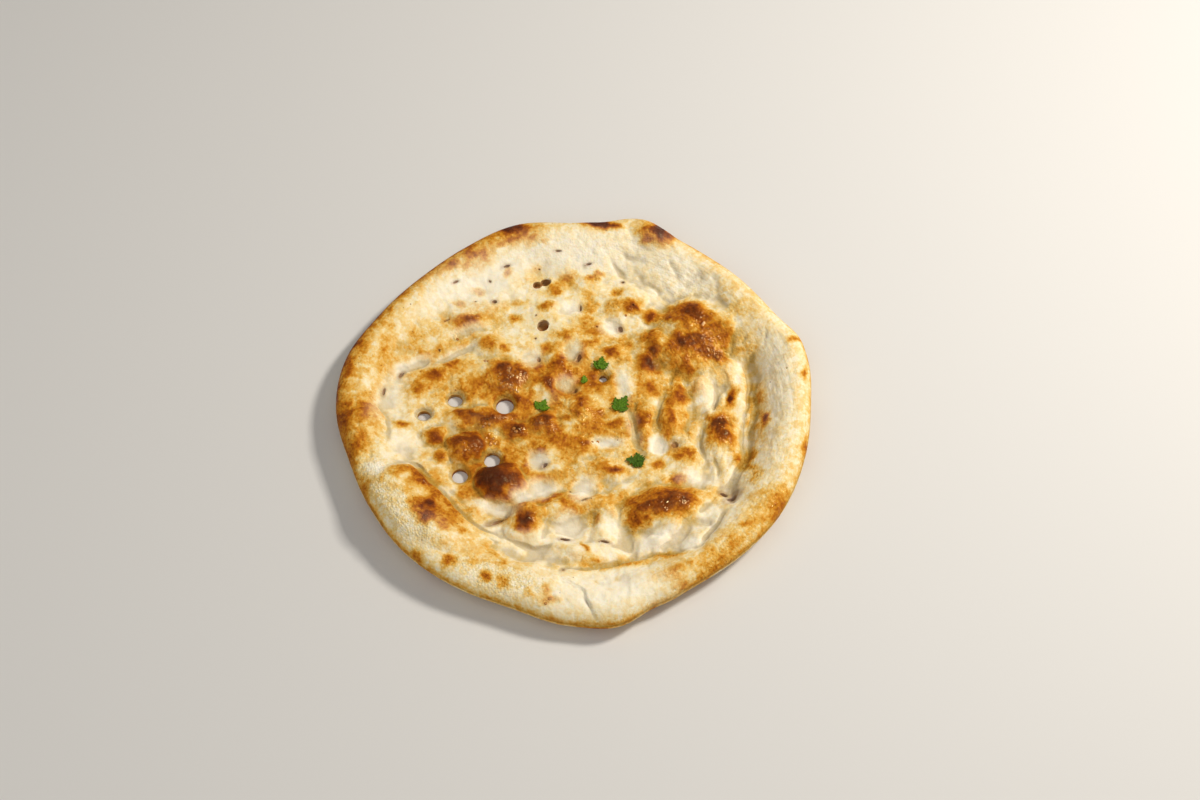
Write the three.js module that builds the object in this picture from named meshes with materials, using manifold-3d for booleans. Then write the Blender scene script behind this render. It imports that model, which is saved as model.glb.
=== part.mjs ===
// Naan bread: one hand-stretched flatbread, slapped on the wall of a clay oven and baked.
// It is a single piece of dough with a puffed rim, a thin middle pricked by fingertips,
// blisters that rose between the pricks, creases where the dough folded over itself,
// a few prick holes, most of them right through, and five scraps of chopped herb stuck on top.
//
// Units are millimetres. +Z is up, +X is to the right and +Y is away from the diner.
// The origin is the middle of the bread's outline, on the surface the bread lies on.
import * as THREE from "three";
import { mergeVertices } from "three/addons/utils/BufferGeometryUtils.js";
import Module from "manifold-3d";

// ---------------------------------------------------------------- driving dimensions

const MIDDLE_THICKNESS = 5.4; // dough between the blisters
const THINNEST = 2.4; // dough at the bottom of a prick
const NOSE_START = 0.93; // share of the radius where the edge starts to round off
const NOSE_SHARE = 0.42; // height of the edge line, as a share of the rim's thickness
const LIFT_START = 0.66; // share of the radius where the underside leaves the table
const HOLE_LIP = 0.7; // rounding where a hole meets the top

// Outline radius at every 15 degrees, anticlockwise from +X.
const OUTLINE = [
  131.5, 135, 130, 129.5, 131, 135.5, 129.5, 133, 129, 127, 128.5, 132.5,
  131.5, 126.5, 125.5, 126, 125, 124.5, 130, 130, 126, 127.5, 130, 130.5,
];
// Small lobes and notches of the edge: angle in degrees, half width in degrees, reach.
const EDGE_LOBES = [
  { angle: 72, half: 5, reach: 2.5 },
  { angle: 82, half: 4, reach: -1.5 },
  { angle: 20, half: 4, reach: 1.5 },
  { angle: 280, half: 6, reach: 2.5 },
  { angle: 289, half: 4, reach: -1.5 },
];

// The puffed rim at every 30 degrees, anticlockwise from +X.
const RIM_RISE = [11.4, 10.4, 7.4, 7.4, 5.9, 5.9, 8.4, 8.4, 9.4, 10.4, 10.4, 11.4];
const RIM_PLACE = [0.905, 0.92, 0.91, 0.91, 0.93, 0.93, 0.9, 0.88, 0.88, 0.88, 0.92, 0.89];
const RIM_INNER = [0.13, 0.14, 0.12, 0.14, 0.1, 0.09, 0.11, 0.14, 0.13, 0.11, 0.09, 0.13];
const RIM_OUTER = 0.2;
const EDGE_LIFT = [8, 7, 5, 4, 4, 5, 7, 8, 7, 4, 5, 7];

// Blisters and mounds: middle, half length, half width, turn in degrees, rise, and how
// steep the side is, where 2 is a soft swell and 0.6 is a bubble with a clear edge.
const MOUNDS = [
  { x: 67, y: 52, long: 26, wide: 26, turn: 0, rise: 9, steep: 1.1 }, // large blister
  { x: 43, y: 42, long: 10, wide: 17, turn: -12, rise: 3.6, steep: 1.6 },
  { x: 88, y: 28, long: 14, wide: 9, turn: -62, rise: 2.4, steep: 1.6 }, // pale pillow
  { x: 73, y: 14, long: 14, wide: 7, turn: 82, rise: 2.8, steep: 1.6 }, // long pillow
  { x: 81, y: -9, long: 22, wide: 11, turn: 94, rise: 4.2, steep: 1.5 }, // beside the right valley
  { x: 55, y: -2, long: 17, wide: 8, turn: 84, rise: 3, steep: 1.5 },
  { x: 41, y: -5, long: 12, wide: 6, turn: 88, rise: 2.6, steep: 1.2 },
  { x: 58, y: 14, long: 10, wide: 9, turn: 0, rise: 2.6, steep: 1.4 },
  { x: 53, y: -60, long: 27, wide: 17, turn: 4, rise: 9.5, steep: 1.3 }, // front blister
  { x: 48, y: -76, long: 14, wide: 6, turn: 42, rise: 3, steep: 1.2 },
  { x: 66, y: -78, long: 12, wide: 6, turn: 45, rise: 3, steep: 1.2 },
  { x: -25, y: -68, long: 14, wide: 12, turn: 20, rise: 7, steep: 1 },
  { x: -4, y: -57, long: 32, wide: 9, turn: 8, rise: 5, steep: 1.1 }, // ridge between the pricks
  { x: 18, y: -68, long: 14, wide: 9, turn: 80, rise: 5, steep: 1.1 },
  { x: 8, y: -86, long: 26, wide: 6, turn: 2, rise: 2.4, steep: 1 },
  { x: 24, y: -36, long: 13, wide: 6, turn: 0, rise: 2.6, steep: 1.3 },
  { x: -59, y: -20, long: 11.5, wide: 10.5, turn: 0, rise: 5.4, steep: 0.7 }, // round blister
  { x: -77, y: -14, long: 8, wide: 7, turn: 0, rise: 3.4, steep: 0.8 },
  { x: -73, y: -26, long: 6, wide: 5, turn: 0, rise: 2.2, steep: 0.9 },
  { x: -40, y: -42, long: 14, wide: 12.5, turn: 0, rise: 7, steep: 0.85 }, // darkest blister
  { x: -55, y: -2, long: 20, wide: 8, turn: -3, rise: 4, steep: 1.1 },
  { x: -38, y: 26, long: 14, wide: 14, turn: 0, rise: 4, steep: 1.3 }, // glossy blister
  { x: -32, y: -9, long: 8, wide: 7, turn: 0, rise: 2.2, steep: 1.2 },
  { x: -17, y: -4, long: 10, wide: 8, turn: 0, rise: 3.4, steep: 1.1 },
  { x: -80, y: 25, long: 16, wide: 9, turn: 20, rise: 2.8, steep: 1.2 },
  { x: -48, y: 47, long: 11, wide: 9, turn: 10, rise: 2.6, steep: 1.2 },
  { x: -89, y: 16, long: 8, wide: 7, turn: 0, rise: 1.8, steep: 1.2 },
  { x: -59, y: 63, long: 13, wide: 6, turn: 15, rise: 1.8, steep: 1.2 },
  { x: -16, y: 74, long: 7, wide: 6, turn: 0, rise: 1.4, steep: 1.2 },
  { x: -10, y: 86, long: 9, wide: 7, turn: 0, rise: 1.6, steep: 1.2 },
  { x: 30, y: 75, long: 15, wide: 10, turn: 20, rise: 2.4, steep: 1.3 },
  { x: 43, y: 67, long: 8, wide: 7, turn: 0, rise: 1.8, steep: 1.2 },
  { x: -10, y: 38, long: 7, wide: 12, turn: 0, rise: 2, steep: 1.2 },
  { x: -13, y: 22, long: 6, wide: 9, turn: 0, rise: 1.8, steep: 1.2 },
  { x: 5, y: 8, long: 9, wide: 10, turn: 0, rise: 2.2, steep: 1.2 },
  { x: 20, y: 41, long: 9, wide: 8, turn: 0, rise: 1.8, steep: 1.2 },
  { x: 5, y: -20, long: 9, wide: 8, turn: 0, rise: 2, steep: 1.2 },
  { x: 12, y: -34, long: 18, wide: 7, turn: 8, rise: 2, steep: 1.3 },
  { x: 61, y: -26, long: 14, wide: 9, turn: -5, rise: 2, steep: 1.3 },
  { x: -82, y: -62, long: 40, wide: 20, turn: -40, rise: 7, steep: 1.1 }, // puffed front left
  { x: -84, y: -43, long: 20, wide: 9, turn: 0, rise: 2.5, steep: 1.2 },
  { x: -116, y: -12, long: 26, wide: 12, turn: 85, rise: 2.5, steep: 1.4 },
  { x: 46, y: 119, long: 15, wide: 11, turn: -25, rise: 3.5, steep: 1.3 }, // browned far lobe
  { x: 47, y: -80, long: 9, wide: 4, turn: 20, rise: 1.2, steep: 1.4 },
  { x: -19, y: -77, long: 15, wide: 4.5, turn: -4, rise: 1.6, steep: 1.4 },
];

// Pricks and troughs that don't go through, in the same terms, with a depth.
const DENTS = [
  { x: -3, y: 73, long: 11, wide: 6, turn: 8, deep: 1.8 },
  { x: 21.5, y: 60, long: 8, wide: 6, turn: 0, deep: 2.2 },
  { x: 0, y: 43, long: 6.5, wide: 8.5, turn: 0, deep: 2.2 },
  { x: -23, y: 39, long: 9, wide: 7, turn: -60, deep: 2 },
  { x: -4, y: 21, long: 8, wide: 7, turn: 0, deep: 2.2 },
  { x: -19, y: -28, long: 8, wide: 7, turn: 0, deep: 2.6 },
  { x: -18.5, y: -46, long: 9.5, wide: 8.5, turn: 10, deep: 2.8 },
  { x: 6, y: -47, long: 7, wide: 9.5, turn: -20, deep: 2.8 },
  { x: 19, y: -16.5, long: 10, wide: 5, turn: 0, deep: 1.6 },
  { x: 27, y: 20, long: 5, wide: 11, turn: 10, deep: 1.6 },
  { x: 47.5, y: -19, long: 6.5, wide: 6.5, turn: 0, deep: 2.6 },
  { x: 47, y: 0, long: 4, wide: 14, turn: 0, deep: 1.2 },
  { x: -2, y: -69.5, long: 10, wide: 9, turn: 0, deep: 3.4 },
  { x: 20, y: -70, long: 8, wide: 10, turn: 0, deep: 2.6 },
  { x: -42, y: -62, long: 11, wide: 8, turn: 10, deep: 3.2 },
  { x: 30, y: -76, long: 5, wide: 10, turn: -10, deep: 2 },
  { x: 68, y: -41, long: 12, wide: 7, turn: -10, deep: 1.6 },
  { x: -91, y: 33, long: 13, wide: 4.5, turn: 30, deep: 1.8 },
  { x: -67, y: 41, long: 14, wide: 4, turn: 25, deep: 1.4 },
  { x: -62, y: 56, long: 14, wide: 4.5, turn: 18, deep: 1.2 },
  { x: -103, y: 14, long: 8, wide: 22, turn: -18, deep: 1.8 },
  { x: -93, y: -22, long: 15, wide: 8, turn: -40, deep: 2 },
  { x: -20, y: -88, long: 26, wide: 8, turn: -6, deep: 3 },
  { x: 72, y: -66, long: 6, wide: 13, turn: -20, deep: 2 },
];
const DENT_STEEP = 1.4;

// Long hollows along curved lines, with a half width and a depth.
const VALLEYS = [
  { from: [101, 42], bend: [104, -4], to: [86, -56], half: 3.6, deep: 4 }, // inside the right rim
  { from: [105, 44], bend: [109, -2], to: [91, -60], half: 9.5, deep: 3.2 }, // foot of the rim
  { from: [80, -46], bend: [84, -52], to: [90, -55], half: 4.4, deep: 2.6 }, // pocket at the near end
  { from: [30, -76], bend: [26, -84], to: [36, -86], half: 5, deep: 2 },
  { from: [62, 90], bend: [78, 82], to: [84, 66], half: 6, deep: 1.6 },
  { from: [84, 24], bend: [82, 12], to: [78, 4], half: 1.8, deep: 1.8 },
  { from: [62, 22], bend: [66, 10], to: [64, -6], half: 3, deep: 1.6 },
  { from: [72, -10], bend: [70, -24], to: [76, -42], half: 4.5, deep: 1.6 },
];

// Prick holes through the dough: middle, half length, half width, turn in degrees.
const HOLES = [
  { x: -38.5, y: 8, long: 5, wide: 5.2, turn: -25 },
  { x: -66.5, y: 11.5, long: 4.2, wide: 4, turn: 0 },
  { x: -83.5, y: 1.5, long: 3.6, wide: 3, turn: 0 },
  { x: -44.7, y: -27, long: 4.4, wide: 4.6, turn: -10 },
  { x: -62, y: -37, long: 4.4, wide: 4.4, turn: -15 },
  { x: 16.5, y: 26, long: 2.3, wide: 2.2, turn: 0 },
];

// Pits that end in the dough, in the same terms, with the height of their floor.
const PITS = [
  { x: -17, y: 90.5, long: 2.9, wide: 2.3, turn: 20, floor: 1.4 },
  { x: -21.5, y: 88.6, long: 2.7, wide: 2.3, turn: 15, floor: 1.4 },
  { x: -18, y: 60, long: 3.4, wide: 3.2, turn: 20, floor: 1.4 },
];
const HOLE_RIM = 3.2; // dough at the edge of a hole
const HOLE_SHOULDER = 3; // reach of the sunken ring round a hole
const HOLE_SIDES = 14;
const CUT_ABOVE = 6; // how far the cutting tool stands out of the dough
const CUT_BELOW = 1;

// Folds: the dough steps up on the left of a curved line from one end to the other, and
// the step fades away from the line.
const FOLDS = [
  { from: [-39, -78], bend: [-66, -64], to: [-90, -31], rise: 4.5, fade: 18 },
  { from: [64, -86], bend: [24, -95], to: [-6, -98], rise: 3.4, fade: 12 },
  { from: [14, -129], bend: [5, -114], to: [-7, -103], rise: -1.8, fade: 9 },
  { from: [-101, -13], bend: [-105, -5], to: [-110, 3], rise: 2, fade: 9 },
  { from: [99, 44], bend: [101.5, -4], to: [84, -56], rise: 3.8, fade: 14 },
];
const FOLD_WIDTH = 3.4; // half width of the step itself
const CURVE_STEPS = 12;

// Unevenness of hand-stretched dough: blisters and pricks are drawn a little out of round
// by waves of WARP, and the middle is wavy by itself.
const WARP = [
  { size: 7, phase: 1.1, turned: 2.7, reach: 1.8 },
  { size: 3.2, phase: 4.2, turned: 0.4, reach: 0.8 },
];
const WAVES = [
  { size: 7, phase: 0.6, rise: 1 },
  { size: 3.6, phase: 3.1, rise: 0.45 },
];
const BROAD_WAVE = { size: 13, phase: 1.9, rise: 0.5 };
const WAVY_INSIDE = [0.72, 0.95]; // shares of the radius between which the waves die out

// Scraps of chopped herb: middle, size across, turn in degrees, and number of lobes.
const HERBS = [
  { x: 15.5, y: 34, size: 7.5, turn: 80, lobes: 5 },
  { x: 5.5, y: 24, size: 5.5, turn: 110, lobes: 3 },
  { x: -17, y: 7.5, size: 8, turn: 60, lobes: 5 },
  { x: 26.5, y: 8, size: 10, turn: 70, lobes: 5 },
  { x: 34.5, y: -28.5, size: 10, turn: 165, lobes: 5 },
];
const HERB_THICKNESS = 0.7;
const HERB_WAVE = 0.5;

// Mesh density
const TOP_RINGS = 31;
const UNDER_RINGS = 13;
const TOP_NOSE = [0.955, 0.98, 0.995];
const UNDER_NOSE = [0.985, 0.955];

const DOUGH_COLOUR = 0xe6c78f;

// ---------------------------------------------------------------- small maths

const radians = THREE.MathUtils.degToRad;
const clamp = THREE.MathUtils.clamp;

// A smooth closed curve through evenly spaced values, read at an angle in radians.
function around(values, angle) {
  const turn = THREE.MathUtils.euclideanModulo(angle / (2 * Math.PI), 1);
  const place = turn * values.length;
  const i = Math.floor(place);
  const at = (k) => values[(i + k + values.length) % values.length];
  const t = place - i;
  const [a, b, c, d] = [at(-1), at(0), at(1), at(2)];
  return (
    b + 0.5 * t * (c - a + t * (2 * a - 5 * b + 4 * c - d + t * (3 * (b - c) + d - a)))
  );
}

// Distance of a point from the middle of an oval, as a share of the oval's size.
function ovalShare({ x, y, long, wide, turn }, px, py) {
  const c = Math.cos(radians(turn));
  const s = Math.sin(radians(turn));
  const along = (px - x) * c + (py - y) * s;
  const across = (py - y) * c - (px - x) * s;
  return Math.hypot(along / long, across / wide);
}

// 1 in the middle of an oval, 0 at its edge and beyond.
function oval(feature, px, py, steep) {
  const q = ovalShare(feature, px, py);
  return q < 1 ? (1 - q * q) ** steep : 0;
}

// ---------------------------------------------------------------- the bread's shape

function outlineRadius(angle) {
  const lobes = EDGE_LOBES.map(({ angle: at, half, reach }) => {
    const apart = THREE.MathUtils.euclideanModulo(angle - radians(at) + Math.PI, 2 * Math.PI) - Math.PI;
    return reach * Math.exp(-((apart / radians(half)) ** 2));
  });
  return around(OUTLINE, angle) + lobes.reduce((sum, lobe) => sum + lobe, 0);
}

// Points along the curve of each fold and valley.
function withPoints(feature) {
  const curve = new THREE.QuadraticBezierCurve(
    new THREE.Vector2(...feature.from),
    new THREE.Vector2(...feature.bend),
    new THREE.Vector2(...feature.to),
  );
  return { ...feature, points: curve.getPoints(CURVE_STEPS) };
}
const FOLD_LINES = FOLDS.map(withPoints);
const VALLEY_LINES = VALLEYS.map(withPoints);

// The nearest place on a curve: how far off it is, on which side of the curve the point
// lies (1 is the left), and how far along the curve it is, from 0 to 1.
function nearCurve(points, px, py) {
  let near = { gap: Infinity, side: 1, along: 0 };
  for (let i = 0; i + 1 < points.length; i++) {
    const [a, b] = [points[i], points[i + 1]];
    const [dx, dy] = [b.x - a.x, b.y - a.y];
    const t = clamp(((px - a.x) * dx + (py - a.y) * dy) / (dx * dx + dy * dy), 0, 1);
    const gap = Math.hypot(px - a.x - t * dx, py - a.y - t * dy);
    if (gap < near.gap) {
      const side = Math.sign(dx * (py - a.y) - dy * (px - a.x));
      near = { gap, side, along: (i + t) / (points.length - 1) };
    }
  }
  return near;
}

// How far a fold lifts the dough at a point: the full rise just left of the line, fading
// with distance and towards the ends of the line.
function foldLift({ points, rise, fade }, px, py) {
  const { gap, side, along } = nearCurve(points, px, py);
  const step = THREE.MathUtils.smoothstep(side * gap, -FOLD_WIDTH, FOLD_WIDTH);
  return rise * step * Math.sin(Math.PI * along) ** 0.5 * Math.exp(-gap / fade);
}

// How deep a valley is at a point, running out over the last fifth at either end.
function valleyDepth({ points, half, deep }, px, py) {
  const { gap, along } = nearCurve(points, px, py);
  const ends = Math.min(1, 5 * Math.min(along + 0.05, 1.05 - along));
  return deep * Math.exp(-((gap / half) ** 2)) * ends;
}

// A smooth irregular wave over the plan, between -1 and 1.
function wave(x, y, size, phase) {
  const u = (x + 0.6 * size * Math.sin((0.9 * y) / size + phase)) / size + phase;
  const v = (y + 0.6 * size * Math.sin((0.8 * x) / size + 2.3 * phase)) / size + 1.7 * phase;
  return Math.sin(u) * Math.sin(v);
}

// Thickness of the dough at a point of the plan, before the edge rounds off.
function thickness(px, py, share, angle) {
  const inner = 1 - THREE.MathUtils.smoothstep(share, ...WAVY_INSIDE);
  let [x, y] = [px, py];
  for (const { size, phase, turned, reach } of WARP) {
    x += reach * wave(px, py, size, phase);
    y += reach * wave(px, py, size, turned);
  }
  const inward = share - around(RIM_PLACE, angle);
  const width = inward < 0 ? around(RIM_INNER, angle) : RIM_OUTER;
  let sum = MIDDLE_THICKNESS + around(RIM_RISE, angle) * Math.exp(-((inward / width) ** 2));
  for (const mound of MOUNDS) sum += mound.rise * oval(mound, x, y, mound.steep);
  for (const fold of FOLD_LINES) sum += foldLift(fold, x, y);
  for (const { size, phase, rise } of WAVES) sum += inner * rise * wave(px, py, size, phase);
  sum += BROAD_WAVE.rise * wave(px, py, BROAD_WAVE.size, BROAD_WAVE.phase);
  for (const valley of VALLEY_LINES) sum -= valleyDepth(valley, x, y);
  for (const dent of DENTS) sum -= dent.deep * oval(dent, x, y, DENT_STEEP);
  for (const hole of HOLES) {
    const gap = (ovalShare(hole, px, py) - 1) * hole.wide;
    const near = 1 - THREE.MathUtils.smoothstep(gap, 0, HOLE_SHOULDER);
    sum += (Math.min(sum, HOLE_RIM) - sum) * near;
  }
  return Math.max(sum, THINNEST);
}

// Height of the underside and the top at a polar place. share is 0 in the middle of the
// bread and 1 at its edge line, where both surfaces meet.
function surfaces(share, angle) {
  const radius = share * outlineRadius(angle);
  const x = radius * Math.cos(angle);
  const y = radius * Math.sin(angle);
  const full = thickness(x, y, share, angle);
  const nose = clamp((share - NOSE_START) / (1 - NOSE_START), 0, 1);
  const round = Math.sqrt(1 - nose * nose);
  const climb = clamp((share - LIFT_START) / (1 - LIFT_START), 0, 1);
  const lift = around(EDGE_LIFT, angle) * climb * climb;
  const under = lift + full * NOSE_SHARE * (1 - round);
  return { x, y, under, top: under + full * round };
}

// ---------------------------------------------------------------- building the mesh

// Collects points and triangles, and joins rings of points.
class Skin {
  positions = [];
  indices = [];

  add(x, y, z) {
    this.positions.push(x, y, z);
    return this.positions.length / 3 - 1;
  }

  // count points round the bread at one share of its radius, on one of its surfaces.
  ring(share, count, surface) {
    return Array.from({ length: count }, (_, i) => {
      const place = surfaces(share, (2 * Math.PI * i) / count);
      return this.add(place.x, place.y, place[surface]);
    });
  }

  // Triangles between an outer and an inner ring, which may differ in number of points.
  join(outer, inner, facingUp) {
    let [i, j] = [0, 0];
    while (i < outer.length || j < inner.length) {
      const stepOuter =
        j >= inner.length ||
        (i < outer.length && (i + 1) / outer.length <= (j + 1) / inner.length + 1e-9);
      const a = outer[i % outer.length];
      const b = inner[j % inner.length];
      const c = stepOuter ? outer[++i % outer.length] : inner[++j % inner.length];
      this.indices.push(...(facingUp ? [a, c, b] : [a, b, c]));
    }
  }

  geometry() {
    const made = new THREE.BufferGeometry();
    made.setAttribute("position", new THREE.Float32BufferAttribute(this.positions, 3));
    made.setIndex(this.indices);
    return made;
  }
}

// Rings from the edge line in to the middle, on the top or the underside.
function cover(skin, edge, noseShares, rings, surface) {
  const facingUp = surface === "top";
  let outer = edge;
  const inward = [...noseShares].sort((a, b) => b - a);
  for (const share of inward) {
    const ring = skin.ring(share, edge.length, surface);
    skin.join(outer, ring, facingUp);
    outer = ring;
  }
  for (let k = rings; k >= 1; k--) {
    const ring = skin.ring((NOSE_START * k) / rings, 6 * k, surface);
    skin.join(outer, ring, facingUp);
    outer = ring;
  }
  const centre = surfaces(0, 0);
  const tip = skin.add(centre.x, centre.y, centre[surface]);
  skin.join(outer, [tip], facingUp);
}

function doughGeometry() {
  const skin = new Skin();
  const edge = skin.ring(1, 6 * TOP_RINGS, "top");
  cover(skin, edge, TOP_NOSE, TOP_RINGS, "top");
  cover(skin, edge, UNDER_NOSE, UNDER_RINGS, "under");
  return skin.geometry();
}

function heightAt(x, y) {
  const angle = Math.atan2(y, x);
  return surfaces(Math.hypot(x, y) / outlineRadius(angle), angle).top;
}

// The tool that cuts one prick hole or pit: a shaft that flares where it meets the top.
function holeCutter(hole) {
  const mouth = heightAt(hole.x, hole.y);
  const foot = hole.floor ?? -CUT_BELOW;
  const flare = [90, 60, 30, 0].map((degrees) => {
    const lean = radians(degrees);
    return new THREE.Vector2(
      1 + (HOLE_LIP / hole.wide) * (1 - Math.sin(lean)),
      mouth - HOLE_LIP * (1 - Math.cos(lean)),
    );
  });
  const widest = flare[flare.length - 1].x;
  const profile = [
    new THREE.Vector2(0, foot),
    new THREE.Vector2(1, foot),
    ...flare,
    new THREE.Vector2(widest, mouth + CUT_ABOVE),
    new THREE.Vector2(0, mouth + CUT_ABOVE),
  ];
  return new THREE.LatheGeometry(profile, HOLE_SIDES)
    .rotateX(Math.PI / 2)
    .scale(hole.long, hole.wide, 1)
    .rotateZ(radians(hole.turn))
    .translate(hole.x, hole.y, 0);
}

// A scrap of leaf: a lobed, slightly wavy plate whose two faces have the same triangles,
// laid on the bread so that its lower face is just inside the dough.
function herbGeometry({ x, y, size, turn, lobes }) {
  const skin = new Skin();
  const count = 4 * lobes;
  const face = (level, reach) =>
    Array.from({ length: count }, (_, i) => {
      const angle = (2 * Math.PI * i) / count;
      const lobe = 0.76 + 0.24 * Math.cos(lobes * angle);
      const radius = 0.5 * size * reach * lobe;
      const px = x + radius * Math.cos(angle + radians(turn));
      const py = y + radius * Math.sin(angle + radians(turn));
      const wave = HERB_WAVE * reach * (0.5 + 0.5 * Math.sin(2 * angle + turn));
      return skin.add(px, py, heightAt(px, py) + level * HERB_THICKNESS + wave * (level > 0));
    });
  const rings = {};
  for (const level of [1, -1]) {
    rings[level] = face(level, 1);
    const inner = face(level, 0.5);
    const tip = skin.add(x, y, heightAt(x, y) + level * HERB_THICKNESS);
    skin.join(rings[level], inner, level > 0);
    skin.join(inner, [tip], level > 0);
  }
  skin.join(rings[1], rings[-1], false);
  return skin.geometry();
}

// ---------------------------------------------------------------- joining and cutting

const wasm = await Module();
wasm.setup();

function toSolid(geometry) {
  const bare = geometry.clone();
  bare.deleteAttribute("normal");
  bare.deleteAttribute("uv");
  const merged = mergeVertices(bare, 1e-4);
  return new wasm.Manifold(
    new wasm.Mesh({
      numProp: 3,
      vertProperties: new Float32Array(merged.attributes.position.array),
      triVerts: new Uint32Array(merged.index.array),
    }),
  );
}

function toGeometry(solid) {
  const mesh = solid.getMesh();
  const made = new THREE.BufferGeometry();
  made.setAttribute("position", new THREE.BufferAttribute(mesh.vertProperties, mesh.numProp));
  made.setIndex(new THREE.BufferAttribute(mesh.triVerts, 1));
  made.computeVertexNormals();
  return made;
}

function naanGeometry() {
  let bread = toSolid(doughGeometry());
  for (const hole of [...HOLES, ...PITS]) bread = bread.subtract(toSolid(holeCutter(hole)));
  for (const herb of HERBS) bread = bread.add(toSolid(herbGeometry(herb)));
  return toGeometry(bread);
}

// ---------------------------------------------------------------- the part

const group = new THREE.Group();
group.name = "naan";

const bread = new THREE.Mesh(
  naanGeometry(),
  new THREE.MeshStandardMaterial({ color: DOUGH_COLOUR, roughness: 0.6, metalness: 0 }),
);
bread.name = "naan_bread";
group.add(bread);

export default group;
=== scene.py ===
"""Dresses the naan bread: one hand-stretched flatbread baked on the wall of a clay oven.

The dough is drawn over the same plan as the CAD solid, from the same named sizes, with the
wrinkles, slits and small bubbles that the solid leaves out. Its colours follow a map of how
far each place was baked, with painted shade in its hollows, creases and cuts. Chopped herb,
butter and crust bubbles lie on top.

Sizes are in millimetres and angles in degrees, and meshes are in metres. +Z is up, +X is to
the right and +Y is away from the diner. The origin is the middle of the outline, on the
surface that the bread lies on.
"""

from __future__ import annotations

import logging
import math
from dataclasses import dataclass
from enum import Enum
from typing import Any, Callable, Sequence

import bpy
import numpy as np
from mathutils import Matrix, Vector


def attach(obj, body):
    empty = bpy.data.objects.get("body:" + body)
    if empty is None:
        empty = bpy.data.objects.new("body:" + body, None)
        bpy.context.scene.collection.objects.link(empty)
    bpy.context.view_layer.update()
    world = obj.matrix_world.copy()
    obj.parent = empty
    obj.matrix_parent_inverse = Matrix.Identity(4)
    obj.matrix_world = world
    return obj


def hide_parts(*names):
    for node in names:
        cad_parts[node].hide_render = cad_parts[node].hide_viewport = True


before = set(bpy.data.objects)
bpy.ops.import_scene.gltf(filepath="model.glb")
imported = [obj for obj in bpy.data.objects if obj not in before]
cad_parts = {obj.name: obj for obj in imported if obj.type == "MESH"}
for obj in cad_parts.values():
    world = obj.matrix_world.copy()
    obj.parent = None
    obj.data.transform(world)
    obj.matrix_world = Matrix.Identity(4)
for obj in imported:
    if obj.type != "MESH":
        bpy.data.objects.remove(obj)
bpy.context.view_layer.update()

MM = 0.001
NODE = "naan_bread"
BODY = "root"

log = logging.getLogger("naan")

Points = np.ndarray  # one value for each point


# ---------------------------------------------------------------- small maths


def smooth(value: Points, low: float, high: float) -> Points:
    """0 up to low, 1 from high on, and a smooth climb between."""
    t = np.clip((value - low) / (high - low), 0, 1)
    return t * t * (3 - 2 * t)


def around(values: Sequence[float], angle: Points) -> Points:
    """A smooth closed curve through evenly spaced values.

    Args:
        values: the values, anticlockwise from +X.
        angle: where to read the curve, in radians.

    Returns:
        The curve's value at each angle.
    """
    table, count = np.asarray(values, float), len(values)
    place = (angle / (2 * np.pi) % 1) * count
    first = np.floor(place).astype(int)
    t = place - first
    a, b, c, d = (table[(first + k) % count] for k in (-1, 0, 1, 2))
    return b + 0.5 * t * (c - a + t * (2 * a - 5 * b + 4 * c - d + t * (3 * (b - c) + d - a)))


def wave(x: Points, y: Points, size: float, phase: float) -> Points:
    """A smooth irregular wave over the plan.

    Args:
        x: places on the plan.
        y: places on the plan.
        size: size of the waves.
        phase: makes the wave unlike others of its size.

    Returns:
        The wave at each place, between -1 and 1.
    """
    u = (x + 0.6 * size * np.sin(0.9 * y / size + phase)) / size + phase
    v = (y + 0.6 * size * np.sin(0.8 * x / size + 2.3 * phase)) / size + 1.7 * phase
    return np.sin(u) * np.sin(v)


@dataclass(frozen=True)
class Noise:
    """Smooth seeded noise over the plan, between -1 and 1."""

    seed: int
    cells: int = 64

    def at(self, x: Points, y: Points, size: float, octaves: int = 1) -> Points:
        """Reads the noise.

        Args:
            x: places on the plan.
            y: places on the plan.
            size: size of the largest lumps.
            octaves: how many finer layers, each half the size and strength of the last.

        Returns:
            The noise at each place.
        """
        lattice = np.random.default_rng(self.seed).random((self.cells, self.cells)) * 2 - 1
        total, weight = np.zeros(np.shape(x)), 0.0
        for layer in range(octaves):
            u = x / size * 2**layer + 17.3 * layer
            v = y / size * 2**layer + 9.1 * layer
            i, j = np.floor(u).astype(int), np.floor(v).astype(int)
            s, t = (f * f * f * (f * (6 * f - 15) + 10) for f in (u - i, v - j))
            near = lattice[i % self.cells, j % self.cells] * (1 - s)
            near = near + lattice[(i + 1) % self.cells, j % self.cells] * s
            far = lattice[i % self.cells, (j + 1) % self.cells] * (1 - s)
            far = far + lattice[(i + 1) % self.cells, (j + 1) % self.cells] * s
            total = total + (near * (1 - t) + far * t) * 0.5**layer
            weight += 0.5**layer
        return total / weight


LUMPS, RIPPLES, MOTTLE, DRIFT = Noise(3), Noise(7), Noise(11), Noise(23)
SOFT = 1.4  # how softly an oval fades, unless it says otherwise


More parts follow.
